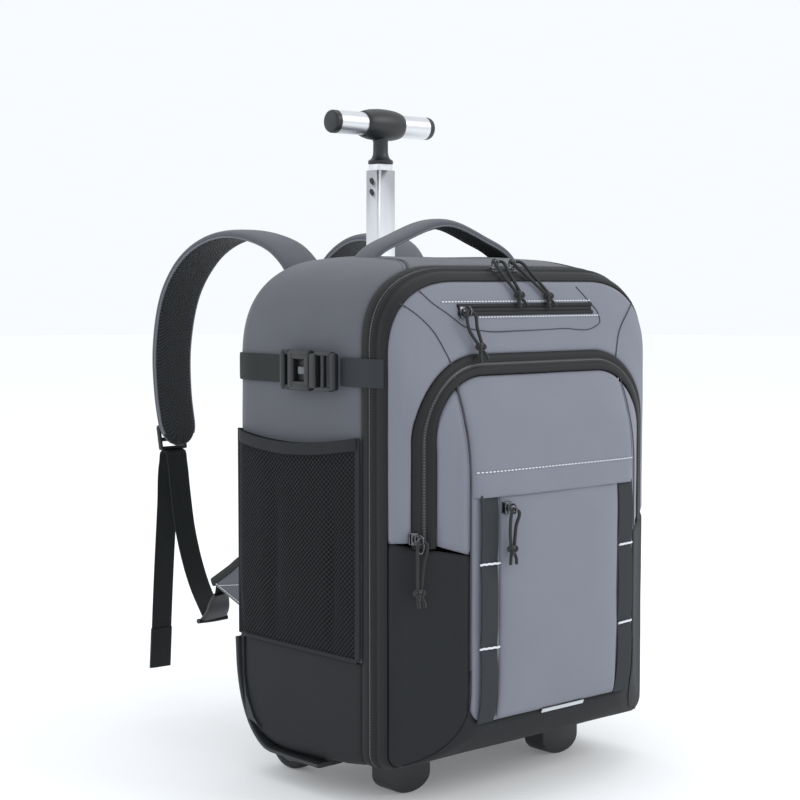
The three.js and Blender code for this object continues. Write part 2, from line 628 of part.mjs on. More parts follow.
// Everything that comes in a left and a right copy
for (const [name, side] of [["left", -1], ["right", 1]]) {
  const mirror = (points) => points.map(([x, y, z]) => [-side * x, y, z]);

  // Net pocket: a stretched sheet with an open mouth
  const folds = [
    { along: 0.34, wide: 0.05, deep: 2.2 },
    { along: 0.82, wide: 0.045, deep: 3.2 },
  ];
  const columns = 11;
  const rows = 4;
  const rings = [];
  for (let column = 0; column <= columns; column += 1) {
    const u = column / columns;
    const y = pocketRear + (pocketFront - pocketRear) * u;
    const outer = [];
    const inner = [];
    const high = pocketTop - pocketSag * Math.sin(Math.PI * u) + 2 * u;
    for (let row = 0; row <= rows; row += 1) {
      const v = row / rows;
      const z = pocketFloor + (high - pocketFloor) * v;
      const swell = Math.sin(Math.PI * u) ** 0.6 * Math.min(1, 3.2 * v) ** 0.8 * (1 - 0.3 * v);
      const fold = folds.reduce((sum, row2) => sum
        + row2.deep * Math.exp(-(((u - row2.along) / row2.wide) ** 2)) * (1 - v), 0);
      const face = halfAt(y) + gap + 0.5 + Math.max(0, pocketBulge * swell - fold * swell);
      outer.push(new THREE.Vector3(side * (face + netThick), y, z));
      inner.push(new THREE.Vector3(side * face, y, z));
    }
    rings.push([...outer, ...inner.reverse()]);
  }
  add(`mesh_pocket_${name}`, toSolid(loft(rings)).subtract(around), "mesh");

  // Side strap, its buckle and its front end
  const half = bodyWidth / 2;
  const seat = beltThick / 2 + gap + 0.1;
  const lift = seat + 0.2;
  const corner = [half - cornerRadius, backY - cornerRadius];
  const reach = cornerRadius + lift + 0.3;
  const bend = [0.9, 0.6, 0.3, 0.05].map((share) => [
    -(corner[0] + reach * Math.cos((share * Math.PI) / 2)),
    corner[1] + reach * Math.sin((share * Math.PI) / 2),
    sideStrapZ,
  ]);
  add(`side_strap_rear_${name}`, ribbon({
    path: mirror([[-half + 40, backY + lift, sideStrapZ], ...bend, [-half - lift - 1.4, 60, sideStrapZ],
      [-half - lift - 2, buckleJoinY + socketLength - 2, sideStrapZ]]),
    side: [0, 0, 1], width: beltWidth, thick: beltThick, steps: 14,
  }), "webbing");
  add(`side_strap_front_${name}`, ribbon({
    path: mirror([[-half - lift - 1.2, buckleJoinY - plugLength + 1, sideStrapZ], [-halfAt(bandRearY) - seat, bandRearY, sideStrapZ],
      [-halfAt(bandFrontY + 3) - seat, bandFrontY + 3, sideStrapZ]]),
    side: [0, 0, 1], width: beltWidth, thick: beltThick, steps: 6,
  }), "webbing");
  const buckleX = half + 2 * lift + 1.9;
  const socket = roundRect(buckleJoinY + socketLength / 2, socketLength / 2, sideStrapZ - buckleHigh / 2,
    sideStrapZ + buckleHigh / 2, 5);
  const socketWindow = new THREE.Path(roundRect(buckleJoinY + 17, 6, sideStrapZ - 9, sideStrapZ + 9, 3)
    .getPoints(2));
  socket.holes.push(socketWindow);
  const span = side > 0 ? [buckleX, buckleX + buckleThick] : [-buckleX - buckleThick, -buckleX];
  add(`buckle_socket_${name}`, alongX(socket, ...span, 2), "plastic");
  const plug = outline([
    [buckleJoinY - gap, sideStrapZ - 15], [buckleJoinY - gap, sideStrapZ + 15],
    [buckleJoinY - 14, sideStrapZ + buckleHigh / 2], [buckleJoinY - plugLength, sideStrapZ + 15],
    [buckleJoinY - plugLength, sideStrapZ - 15], [buckleJoinY - 14, sideStrapZ - buckleHigh / 2],
  ]);
  plug.holes.push(new THREE.Path(roundRect(buckleJoinY - plugLength + 9, 3.5, sideStrapZ - 11, sideStrapZ + 11, 1)
    .getPoints(1)));
  add(`buckle_plug_${name}`, alongX(plug, ...span, 1), "plastic");

  // Wheel, hub and guard
  add(`wheel_housing_${name}`, guards[name], "plastic");
  const halfWidth = wheelWidth / 2;
  const inner = hubRadius + gap;
  const tyre = [
    [inner, -halfWidth], [wheelRadius - 3, -halfWidth], [wheelRadius, -halfWidth + 4],
    [wheelRadius, halfWidth - 4], [wheelRadius - 3, halfWidth], [inner, halfWidth], [inner, -halfWidth],
  ].map(([r, x]) => new THREE.Vector2(r, x));
  const tyreShape = new THREE.LatheGeometry(tyre, wheelSides, Math.PI / wheelSides);
  const hub = [
    [axleRadius + runningGap, -halfWidth], [axleRadius + 5, -halfWidth], [hubRadius - 4, -halfWidth + 4],
    [hubRadius, -halfWidth + 1], [hubRadius, halfWidth - 1], [hubRadius - 4, halfWidth - 4],
    [axleRadius + 5, halfWidth], [axleRadius + runningGap, halfWidth], [axleRadius + runningGap, -halfWidth],
  ].map(([r, x]) => new THREE.Vector2(r, x));
  const hubShape = new THREE.LatheGeometry(hub, wheelSides, Math.PI / wheelSides);
  for (const [label, shape, look] of [["tyre", tyreShape, "rubber"], ["hub", hubShape, "plastic"]]) {
    const wheel = add(`${label}_${name}`, toSolid(shape), look);
    wheel.rotation.z = Math.PI / 2;
    wheel.position.set(side * wheelX, wheelY, wheelZ);
  }

  // Foot: a half oval under the front of the floor
  const pad = new THREE.Shape();
  const footTop = 60;
  pad.moveTo(side * footX - footWidth / 2, footTop);
  pad.lineTo(side * footX - footWidth / 2, 16);
  pad.absellipse(side * footX, 16, footWidth / 2, 16.6, Math.PI, Math.PI * 2);
  pad.lineTo(side * footX + footWidth / 2, footTop);
  add(`foot_${name}`, toSolid(alongY(pad, footY - footDepth / 2, footY + footDepth / 2, 6)).subtract(around)
    .intersect(region([-far, -far, 0], [far, far, footTop])), "plastic");

  // Shoulder strap, from the top of the back over and down to its round lower end
  const strapPath = [
    [-strapX, backY + strapThick / 2 + gap, bodyTop - 42], [-strapX, backY + 7.5, bodyTop - 20], [-strapX - 4, backY + 29, bodyTop + 6],
    [-strapX - 12, backY + 62, bodyTop + 20], [-strapX - 18, backY + 102, bodyTop + 22],
    [-strapX - 23, backY + 146, bodyTop + 6], [-strapX - 26, backY + 182, bodyTop - 30],
    [-strapX - 28, backY + 200, bodyTop - 90], [-strapX - 29, backY + 198, bodyTop - 140],
    [-strapX - 30, backY + 184, bodyTop - 196],
  ];
  const strapWide = (share) => {
    const end = Math.max(0, (share - 0.95) / 0.05);
    return (strapWidth - 6 * Math.abs(2 * share - 1)) * Math.sqrt(1 - 0.8 * end * end);
  };
  add(`shoulder_strap_${name}`, ribbon({
    path: mirror(strapPath), side: [1, 0, 0], width: strapWide, thick: strapThick, steps: 18, round: 0.55,
  }), "grey");

  // Strap adjuster: a ladder frame on the strap's outer face
  const endX = side * (strapX + 32);
  const adjuster = roundRect(endX, adjustWidth / 2, -12, 15, 4);
  adjuster.holes.push(new THREE.Path(roundRect(endX, 13.5, -8, -3.2, 1).getPoints(1)));
  adjuster.holes.push(new THREE.Path(roundRect(endX, 13.5, 1.2, 6, 1).getPoints(1)));
  const adjusterMesh = add(`strap_adjuster_${name}`, alongY(adjuster, -2.6, 2.6, 2), "plastic");
  adjusterMesh.rotation.x = -0.2;
  adjusterMesh.position.set(0, backY + 195.8, bodyTop - 189);

  // Webbing: from the free tail up round the adjuster's foot and down to the lower buckle
  add(`strap_webbing_${name}`, ribbon({
    path: mirror([
      [-strapX - 38, backY + 213, bodyTop - 436], [-strapX - 36, backY + 208, bodyTop - 340],
      [-strapX - 34, backY + 203, bodyTop - 260], [-strapX - 33, backY + 200, bodyTop - 214],
      [-strapX - 33, backY + 196, bodyTop - 202.1], [-strapX - 32, backY + 190, bodyTop - 202.1],
      [-strapX - 32, backY + 186, bodyTop - 214], [-strapX - 33, backY + 180, bodyTop - 240],
      [-strapX - 35, backY + 166, bodyTop - 290], [-strapX - 36, backY + 141, bodyTop - 340],
      [-strapX - 38, backY + 117, bodyTop - 366],
    ]),
    side: [1, 0, 0], width: beltWidth, thick: beltThick, steps: 26,
  }), "webbing");

  // Lower anchor: a triangular tab, its loop and the buckle
  const tabX = side * 130;
  const tabShape = outline([[backY + gap, 130], [backY + 87, 162], [backY + 42, 190], [backY + gap, 178]]);
  add(`strap_tab_${name}`, alongX(tabShape, tabX - 1.3, tabX + 1.3), "grey");
  const buckleBar = ribbon({
    path: mirror([[-118, backY + 86.6, 162.6], [-116, backY + 96, 146], [-111, backY + 106, 129],
      [-strapX - 38, backY + 114.4, 120.8]]),
    side: [1, 0, 0], width: 26, thick: 4, steps: 6, round: 0.5,
  });
  add(`strap_buckle_${name}`, buckleBar, "plastic");
}

// Telescoping handle: three rectangular tubes, one inside the other
function tube(size, wallThick, low, high, closed) {
  const outer = roundRect(0, size[0] / 2, poleY - size[1] / 2, poleY + size[1] / 2, 4);
  const make = (shape, from, to) => {
    const geometry = new THREE.ExtrudeGeometry(shape, { depth: to - from, bevelEnabled: false, curveSegments: 2 });
    return toSolid(geometry.translate(0, 0, from));
  };
  const bore = roundRect(0, size[0] / 2 - wallThick, poleY - size[1] / 2 + wallThick,
    poleY + size[1] / 2 - wallThick, 4 - wallThick);
  return make(outer, low, high).subtract(make(bore, low - 5, closed ? high - 2 : high + 5));
}
const middleTube = outerTube.map((value) => value - 2 * tubeWall - 2 * tubeGap);
const innerTube = middleTube.map((value) => value - 2 * tubeWall - 2 * tubeGap);
add("pole_outer", tube(outerTube, tubeWall, poleFoot, bodyTop - 4, false), "metal");
add("pole_middle", tube(middleTube, tubeWall, poleRimZ - tubeLength, poleRimZ, false), "metal");
add("pole_inner", tube(innerTube, tubeWall, plateZ - tubeLength + 10, plateZ, true), "metal");

// The grip's hub: foot plate, neck and cross sleeve in one
const hubProfile = [
  [0, plateZ + gap], [12.5, plateZ + gap], [12.5, plateZ + 4], [neckRadius + 2, plateZ + 7], [neckRadius, plateZ + 10],
  [neckRadius, gripZ - 14], [gripRadius, gripZ - 8], [gripRadius, gripZ], [0, gripZ],
].map(([r, z]) => new THREE.Vector2(r, z));
const neck = new THREE.LatheGeometry(hubProfile, 10).rotateX(Math.PI / 2).translate(0, poleY, 0);
const sleeveRadius = gripRadius + 3;
const sleeve = new THREE.LatheGeometry([
  [0, -hubHalf], [gripRadius + 1, -hubHalf], [sleeveRadius, -hubHalf + 5], [sleeveRadius + 1.5, 0],
  [sleeveRadius, hubHalf - 5], [gripRadius + 1, hubHalf], [0, hubHalf],
].map(([r, x]) => new THREE.Vector2(r, x)), 14).rotateZ(Math.PI / 2).translate(0, poleY, gripZ);
const bar = new THREE.CylinderGeometry(gripRadius, gripRadius, 2 * (gripHalf - capLength), 16)
  .rotateZ(Math.PI / 2).translate(0, poleY, gripZ);
const barClear = new THREE.CylinderGeometry(gripRadius + gap, gripRadius + gap, 2 * gripHalf, 16)
  .rotateZ(Math.PI / 2).translate(0, poleY, gripZ);
add("handle_hub", toSolid(neck).add(toSolid(sleeve)).subtract(toSolid(barClear)), "plastic");
add("handle_grip", toSolid(bar), "metal");
for (const [name, side] of [["left", -1], ["right", 1]]) {
  const capShape = [
    [0, gripHalf - capLength + gap], [gripRadius, gripHalf - capLength + gap], [gripRadius, gripHalf - 2],
    [gripRadius - 2, gripHalf], [0, gripHalf],
  ].map(([r, x]) => new THREE.Vector2(r, side * x));
  const cap = new THREE.LatheGeometry(side > 0 ? capShape : capShape.reverse(), 16)
    .rotateZ(-Math.PI / 2).translate(0, poleY, gripZ);
  add(`grip_cap_${name}`, toSolid(cap), "plastic");
}

// Zipper sliders, each with a bail that a cord pull goes through. hole is the middle of the bail's
// hole, lean turns the slider from an upright face, 0, towards a level one, 90 degrees.
// knot and ends are where the pull's overhand knot and its two tails lie.
const topPullX = topZipLeft + 5;
const frontPullX = -frontZipX - 8;
const pouchPullX = 5.5 - pouchHalf;
const pouchPullZ = flapFloor - 10;
const pulls = [
  { name: "main_slider_left", cordName: "main_pull_left", hole: onTop(-24, bandFrontY + 13, 10), lean: 80,
    seat: gap, mids: [onFront(-28, bodyTop - 18.5, 12.2), onFront(-19, bodyTop - 19.5, 10.8)],
    knot: onFront(-16, bodyTop - 37, 5.6),
    ends: [onFront(-17, bodyTop - 48, 4.7), onFront(-9, bodyTop - 46, 5.6)] },
  { name: "main_slider_right", cordName: "main_pull_right", hole: onTop(-2, bandFrontY + 13, 10), lean: 80,
    seat: gap, mids: [onFront(2, bodyTop - 18.5, 12.2), onFront(11, bodyTop - 19.5, 10.8)],
    knot: onFront(22, bodyTop - 38, 5.2),
    ends: [onFront(21, bodyTop - 49, 4.5), onFront(29, bodyTop - 47, 5.4)] },
  { name: "top_pocket_slider", cordName: "top_pocket_pull", hole: onFront(topPullX, topZipZ - 1, 8.8), lean: 12,
    seat: 2 * gap + trimThick,
    mids: [onFront(topPullX - 1, topZipZ - 16, 7.3), onFront(topPullX + 9, topZipZ - 16, 7.8)],
    knot: onFront(topPullX + 10, topZipZ - 33, 7),
    ends: [onFront(topPullX + 8, topZipZ - 46, 6), onFront(topPullX + 16, topZipZ - 43, 6.8)] },
  { name: "front_slider", cordName: "front_pull", hole: onFront(frontPullX, frontZipEnd + 9, 9.4), lean: 0,
    seat: gap,
    mids: [onFront(frontPullX - 5, frontZipEnd - 13, 14.3), onFront(frontPullX + 2, frontZipEnd - 13, 10)],
    knot: onFront(frontPullX - 3, frontZipEnd - 37, 13.2),
    ends: [onFront(frontPullX - 3, frontZipEnd - 49, 13.2), onFront(frontPullX + 4, frontZipEnd - 49, 8.8)] },
  { name: "pouch_slider", cordName: "pouch_pull", hole: onFront(pouchPullX, pouchPullZ, 12.2), lean: 0,
    faceY: backY - bodyDepth - 2.6,
    mids: [onFront(pouchPullX - 4, pouchPullZ - 16, 12), onFront(pouchPullX + 3, pouchPullZ - 16, 12)],
    knot: onFront(pouchPullX, pouchPullZ - 36, 11),
    ends: [onFront(pouchPullX - 2, pouchPullZ - 49, 10.5), onFront(pouchPullX + 5, pouchPullZ - 49, 11)] },
];
for (const pull of pulls) {
  const ring = new THREE.Shape();
  ring.absarc(0, 0, bailRadius, 0, Math.PI * 2);
  ring.holes.push(new THREE.Path().absarc(0, 0, bailHole, 0, Math.PI * 2, true));
  const bail = toSolid(alongX(ring, -bailThick / 2, bailThick / 2, 4));
  const block = toSolid(box(
    [-sliderBody[0] / 2, bailRadius - 0.8, -sliderBody[2] / 2],
    [sliderBody[0] / 2, bailRadius - 0.8 + sliderBody[1], sliderBody[2] / 2],
  ));
  const turn = new THREE.Matrix4().makeRotationX((-pull.lean * Math.PI) / 180);
  turn.setPosition(...pull.hole);
  const slider = toGeometry(bail.add(block)).applyMatrix4(turn);
  const seat = pull.faceY ? region([-far, pull.faceY, -far], [far, far, far]) : bodySolid(pull.seat);
  add(pull.name, toSolid(slider).subtract(seat), "darkMetal");
  const [x, y, z] = pull.hole;
  const [kx, ky, kz] = pull.knot;
  const [outLeft, outRight] = [-1, 1].map((way) => new THREE.Vector3(way * 3.9, -2, -2)
    .applyMatrix4(turn).toArray());
  const strand = [
    pull.ends[0], [kx - 1.9, ky, kz], pull.mids[0], outLeft, [x, y, z], outRight, pull.mids[1],
    [kx + 1.9, ky, kz], pull.ends[1],
  ];
  const knot = new THREE.SphereGeometry(knotRadius, 5, 3).scale(1.1, 0.9, 1).translate(kx, ky, kz);
  const line = cord(strand, cordRadius, 14);
  add(pull.cordName, toSolid(line).add(toSolid(knot)), "cord");
}

// The origin is the middle of the base
const bounds = new THREE.Box3().setFromObject(group);
const middle = bounds.getCenter(new THREE.Vector3());
group.position.set(-middle.x, -middle.y, -bounds.min.z);

export default group;
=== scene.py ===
"""A wheeled backpack: sewn panels, zippers, straps, buckles, wheels and a telescopic handle.

Sizes are in millimetres in the bag's own frame, x to its right, y to its back and z up, and are
turned into metres as each mesh is made.
"""

import logging
import math
from dataclasses import dataclass, field
from enum import Enum

import bmesh
import bpy
import numpy as np
from mathutils import Matrix, Vector


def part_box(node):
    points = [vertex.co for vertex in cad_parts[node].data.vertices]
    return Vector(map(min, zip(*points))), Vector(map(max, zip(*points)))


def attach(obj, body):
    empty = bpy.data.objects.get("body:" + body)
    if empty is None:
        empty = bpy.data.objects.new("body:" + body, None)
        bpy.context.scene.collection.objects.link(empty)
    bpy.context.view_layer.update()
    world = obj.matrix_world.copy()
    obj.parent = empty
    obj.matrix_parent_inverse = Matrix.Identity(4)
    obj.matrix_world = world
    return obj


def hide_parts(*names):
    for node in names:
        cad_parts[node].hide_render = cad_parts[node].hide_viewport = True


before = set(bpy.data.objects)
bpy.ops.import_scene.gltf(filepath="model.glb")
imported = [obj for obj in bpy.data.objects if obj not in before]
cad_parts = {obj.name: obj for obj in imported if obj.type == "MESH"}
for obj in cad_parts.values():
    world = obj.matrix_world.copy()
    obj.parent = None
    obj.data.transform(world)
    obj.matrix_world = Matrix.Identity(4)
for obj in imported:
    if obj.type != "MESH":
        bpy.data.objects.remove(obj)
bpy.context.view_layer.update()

LOG = logging.getLogger("backpack")
MM = 0.001
BACK_Y = 113.0
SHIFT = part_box("rear_shell")[1].y - BACK_Y * MM
Array = np.ndarray
INSIDE = np.array([0.0, 0.0, 240.0])
SIDES = ((-1, "left"), (1, "right"))


def metres(points: Array) -> Array:
    """Turns points of the bag's own frame, in millimetres, into metres of the shared frame."""
    out = np.asarray(points, float) * MM
    out[..., 1] += SHIFT
    return out


def place_of(point: object) -> Vector:
    """Returns one point of the bag's own frame, in millimetres, as a vector in metres."""
    return Vector(metres(np.array(point, float)))


# Finishes


class Slot(Enum):
    """Material slots of the record."""

    GREY = "grey"
    FRONT = "front_grey"
    BLACK = "black"
    TAPE = "tape"
    WEBBING = "webbing"
    NET = "net"
    PLASTIC = "plastic"
    RUBBER = "rubber"
    METAL = "aluminium"
    SLIDER = "slider"
    CORD = "cord"


class Graph:
    """A small helper that adds shader nodes to one material and links them."""

    def __init__(self, name: str) -> None:
        """Makes the material with an empty tree but for its output and shader."""
        self.material = bpy.data.materials.new(name)
        self.material.use_nodes = True
        self.tree = self.material.node_tree
        self.shader = self.tree.nodes["Principled BSDF"]

    def node(self, kind: str, **values: object) -> bpy.types.Node:
        """Adds a node and sets its plain properties.

        Args:
            kind: The node's type name.
            values: Its properties by name.

        Returns:
            The new node.
        """
        made = self.tree.nodes.new(kind)
        for key, value in values.items():
            setattr(made, key, value)
        return made

    def math(self, operation: str, first: object, second: object = None) -> bpy.types.NodeSocket:
        """Adds a Math node. Each input is a socket or a number. Returns its result."""
        made = self.node("ShaderNodeMath", operation=operation)
        for index, value in enumerate((first, second)):
            if isinstance(value, bpy.types.NodeSocket):
                self.tree.links.new(value, made.inputs[index])
            elif value is not None:
                made.inputs[index].default_value = value
        return made.outputs[0]

    def uv(self) -> tuple[bpy.types.NodeSocket, bpy.types.NodeSocket, bpy.types.NodeSocket]:
        """Returns the cloth map's vector, and its two parts in metres."""
        cloth = self.node("ShaderNodeUVMap", uv_map="cloth")
        parts = self.node("ShaderNodeSeparateXYZ")
        self.tree.links.new(cloth.outputs[0], parts.inputs[0])
        return cloth.outputs[0], parts.outputs[0], parts.outputs[1]

    def wave(self, along: bpy.types.NodeSocket, period: float) -> bpy.types.NodeSocket:
        """Returns a wave from 0 to 1 over a coordinate, with the period in metres."""
        turned = self.math("MULTIPLY", along, 2 * math.pi / period)
        return self.math("ADD", self.math("MULTIPLY", self.math("SINE", turned), 0.5), 0.5)

    def noise(self, vector: bpy.types.NodeSocket, scale: float, detail: float = 3.0) -> bpy.types.NodeSocket:
        """Returns a noise over a vector."""
        made = self.node("ShaderNodeTexNoise")
        made.inputs["Scale"].default_value = scale
        made.inputs["Detail"].default_value = detail
        self.tree.links.new(vector, made.inputs["Vector"])
        return made.outputs["Fac"]

    def blend(self, share: bpy.types.NodeSocket, low: tuple, high: tuple) -> bpy.types.NodeSocket:
        """Returns a colour between two, by a share."""
        made = self.node("ShaderNodeMix", data_type="RGBA")
        self.tree.links.new(share, made.inputs["Factor"])
        made.inputs[6].default_value = (*low, 1)
        made.inputs[7].default_value = (*high, 1)
        return made.outputs[2]

    def place(self) -> bpy.types.NodeSocket:
        """Returns the object's own coordinates."""
        return self.node("ShaderNodeTexCoord").outputs["Object"]

    def dress(self, colour: bpy.types.NodeSocket, height: bpy.types.NodeSocket, depth: float) -> None:
        """Links a colour and a bump whose depth is in metres to the shader."""
        bump = self.node("ShaderNodeBump")
        bump.inputs["Strength"].default_value = 1.0
        bump.inputs["Distance"].default_value = depth
        self.tree.links.new(height, bump.inputs["Height"])
        self.tree.links.new(bump.outputs[0], self.shader.inputs["Normal"])
        self.tree.links.new(colour, self.shader.inputs["Base Color"])

    def sockets(self, **values: float) -> None:
        """Sets the shader's own sockets, named with underscores for spaces."""
        for key, value in values.items():
            self.shader.inputs[key.replace("_", " ")].default_value = value


@dataclass(frozen=True)
class Finish:
    """A surface finish. Each kind builds its own nodes."""

    name: str
    slot: Slot
    colour: tuple
    shade: tuple
    roughness: float = 0.8

    def build(self) -> bpy.types.Material:
        """Returns the material, made once."""
        found = bpy.data.materials.get(self.name)
        if found:
            return found
        graph = Graph(self.name)
        graph.sockets(Roughness=self.roughness)
        self.nodes(graph)
        return graph.material

    def nodes(self, graph: Graph) -> None:
        """Adds the nodes of a plain mottled surface."""
        place = graph.place()
        mottle = graph.noise(place, 60.0)
        graph.dress(graph.blend(mottle, self.shade, self.colour), graph.noise(place, 900.0), 0.00002)


@dataclass(frozen=True)
class Cloth(Finish):
    """Woven cloth: fine crossing yarns over a mottled base."""

    yarn: float = 0.0011
    relief: float = 0.00009
    sheen: float = 0.25

    def nodes(self, graph: Graph) -> None:
        """Adds the weave, the mottle and the sheen."""
        vector, across, along = graph.uv()
        warp = graph.wave(across, self.yarn)
        weft = graph.wave(along, self.yarn)
        weave = graph.math("MULTIPLY", warp, weft)
        fuzz = graph.noise(vector, 1400.0, 2.0)
        cloudy = graph.noise(vector, 22.0, 4.0)
        share = graph.math("ADD", graph.math("MULTIPLY", cloudy, 0.5), graph.math("MULTIPLY", fuzz, 0.35))
        share = graph.math("ADD", share, graph.math("MULTIPLY", weave, 0.25))
        graph.dress(graph.blend(share, self.shade, self.colour),
                    graph.math("ADD", graph.math("MULTIPLY", weave, 0.7), graph.math("MULTIPLY", fuzz, 0.6)),
                    self.relief)
        graph.sockets(Sheen_Weight=self.sheen, Sheen_Roughness=0.5, Specular_IOR_Level=0.3)


@dataclass(frozen=True)
class Ribbed(Finish):
    """Webbing: ribs along its length crossed by fine picks."""

    rib: float = 0.0036
    pick: float = 0.0012
    relief: float = 0.00035

    def nodes(self, graph: Graph) -> None:
        """Adds the ribs and picks, with the colour darker down between the ribs as painted shade in the
        valleys.
        """
        vector, across, along = graph.uv()
        ribs = graph.wave(across, self.rib)
        picks = graph.wave(along, self.pick)
        height = graph.math("ADD", graph.math("MULTIPLY", graph.math("POWER", ribs, 1.6), 0.8),
                            graph.math("MULTIPLY", picks, 0.2))
        # The colour follows the rib height: darker down in the valleys between the ribs, as painted shade.
        share = graph.math("ADD", graph.math("MULTIPLY", height, 0.8), graph.math(
            "MULTIPLY", graph.noise(vector, 300.0), 0.2))
        graph.dress(graph.blend(share, self.shade, self.colour), height, self.relief)
        graph.sockets(Specular_IOR_Level=0.3)


@dataclass(frozen=True)
class Spacer(Finish):
    """Spacer net: rows of small dark openings in a soft padded face."""

    pitch: float = 0.0036
    relief: float = 0.0007

    def nodes(self, graph: Graph) -> None:
        """Adds the staggered openings, painted dark as the shade down in each hole."""
        vector, across, along = graph.uv()
        first = graph.wave(graph.math("ADD", across, along), self.pitch)
        second = graph.wave(graph.math("SUBTRACT", across, along), self.pitch)
        hole = graph.math("MULTIPLY", first, second)
        solid = graph.math("SUBTRACT", 1.0, graph.math("SMOOTH_MIN", graph.math("MULTIPLY", hole, 1.9), 1.0))
        fuzz = graph.noise(vector, 900.0)
        # The openings take the dark shade colour: painted shade down in the holes.
        share = graph.math("MULTIPLY", solid, graph.math("ADD", graph.math("MULTIPLY", fuzz, 0.5), 0.6))
        graph.dress(graph.blend(share, self.shade, self.colour), solid, self.relief)
        graph.sockets(Sheen_Weight=0.05, Specular_IOR_Level=0.3)


@dataclass(frozen=True)
class Moulded(Finish):
    """Moulded plastic or rubber with a fine grain."""

    grain: float = 0.00004

    def nodes(self, graph: Graph) -> None:
        """Adds the grain and faint handling marks."""
        place = graph.place()
        marks = graph.noise(place, 35.0, 5.0)
        graph.dress(graph.blend(marks, self.shade, self.colour), graph.noise(place, 1500.0, 2.0), self.grain)
        graph.sockets(Specular_IOR_Level=0.5)


@dataclass(frozen=True)
class Metal(Finish):
    """Metal, drawn or cast, with faint streaks along z."""

    streak: float = 30.0

    def nodes(self, graph: Graph) -> None:
        """Adds the streaks."""
        mapping = graph.node("ShaderNodeMapping")
        mapping.inputs["Scale"].default_value = (self.streak, self.streak, 1.0)
        graph.tree.links.new(graph.place(), mapping.inputs["Vector"])
        streaks = graph.noise(mapping.outputs[0], 14.0, 4.0)
        graph.dress(graph.blend(streaks, self.shade, self.colour), streaks, 0.00001)
        graph.sockets(Metallic=1.0)


# GREY and FRONT are one grey cloth painted at two brightnesses. FRONT is lighter, as painted light on the lit
# front. GREY is darker, as painted shade of the sides, and it also dresses the top, back, handle and straps.
GREY = Cloth("shaded_grey_cloth", Slot.GREY, (0.115, 0.120, 0.138), (0.084, 0.088, 0.103), sheen=0.12)
FRONT = Cloth("lit_grey_cloth", Slot.FRONT, (0.205, 0.215, 0.258), (0.165, 0.174, 0.212), sheen=0.12)
BLACK = Cloth("black_cloth", Slot.BLACK, (0.014, 0.016, 0.018), (0.009, 0.010, 0.012), 0.7, relief=0.00005,
              sheen=0.0)
# A near-black copy of the black cloth for the sheet behind the side pockets: painted shade inside the pocket.
POCKET_SHADE = Cloth("pocket_shade_cloth", Slot.BLACK, (0.004, 0.0045, 0.005), (0.003, 0.003, 0.0035), 0.95, sheen=0.0)
TAPE = Ribbed("zipper_tape", Slot.TAPE, (0.011, 0.012, 0.014), (0.006, 0.007, 0.008), 0.6, rib=0.0022,
              pick=0.0012, relief=0.0001)
COIL = Moulded("zipper_coil", Slot.TAPE, (0.016, 0.017, 0.019), (0.009, 0.010, 0.011), 0.45)
WEBBING = Ribbed("webbing", Slot.WEBBING, (0.026, 0.028, 0.031), (0.003, 0.0035, 0.004), 0.65)
PLAIN_WEBBING = Ribbed("smooth_webbing", Slot.WEBBING, (0.012, 0.015, 0.015), (0.008, 0.010, 0.010), 0.6,
                       rib=0.0026, pick=0.0011, relief=0.00008)
SPACER = Spacer("spacer_net", Slot.NET, (0.040, 0.044, 0.048), (0.006, 0.007, 0.008), 0.8)
NET = Moulded("pocket_net", Slot.NET, (0.034, 0.038, 0.046), (0.022, 0.025, 0.031), 0.55)
EDGING = Cloth("edge_binding", Slot.NET, (0.014, 0.016, 0.018), (0.009, 0.010, 0.012), 0.7, sheen=0.0)
PLASTIC = Moulded("black_plastic", Slot.PLASTIC, (0.014, 0.016, 0.018), (0.009, 0.011, 0.012), 0.42)
# Matte guard plastic. Its colour is lifted above the black plastic as painted highlight on the guards and
# feet.
DULL = Moulded("guard_plastic", Slot.PLASTIC, (0.024, 0.027, 0.030), (0.015, 0.017, 0.019), 0.5)
RUBBER = Moulded("tyre_rubber", Slot.RUBBER, (0.020, 0.021, 0.022), (0.012, 0.013, 0.014), 0.75)
ALUMINIUM = Metal("drawn_aluminium", Slot.METAL, (0.80, 0.81, 0.84), (0.70, 0.71, 0.74), 0.28)
GUNMETAL = Metal("gunmetal", Slot.SLIDER, (0.16, 0.165, 0.175), (0.09, 0.095, 0.10), 0.22, streak=60.0)
CORD = Cloth("cord_yarn", Slot.CORD, (0.018, 0.021, 0.020), (0.010, 0.012, 0.011), 0.75, yarn=0.0009,
             relief=0.00015)
THREAD = Moulded("white_thread", Slot.FRONT, (0.78, 0.79, 0.82), (0.60, 0.61, 0.65), 0.7)
GREY_THREAD = Moulded("grey_thread", Slot.GREY, (0.27, 0.28, 0.31), (0.17, 0.18, 0.2), 0.7)
SEAM = Moulded("seam_shadow", Slot.FRONT, (0.055, 0.058, 0.072), (0.03, 0.032, 0.04), 0.9)
# A darker copy of the black cloth for thin strips in seams and gaps: painted shade in their grooves.
BLACK_SEAM_SHADE = Moulded("black_seam_shade", Slot.BLACK, (0.007, 0.008, 0.009), (0.004, 0.0045, 0.005), 0.8)
GLINT = Moulded("coil_glint", Slot.TAPE, (0.32, 0.33, 0.35), (0.2, 0.21, 0.23), 0.3)
SILVER = Moulded("reflective_strip", Slot.FRONT, (0.62, 0.66, 0.68), (0.5, 0.54, 0.56), 0.35)
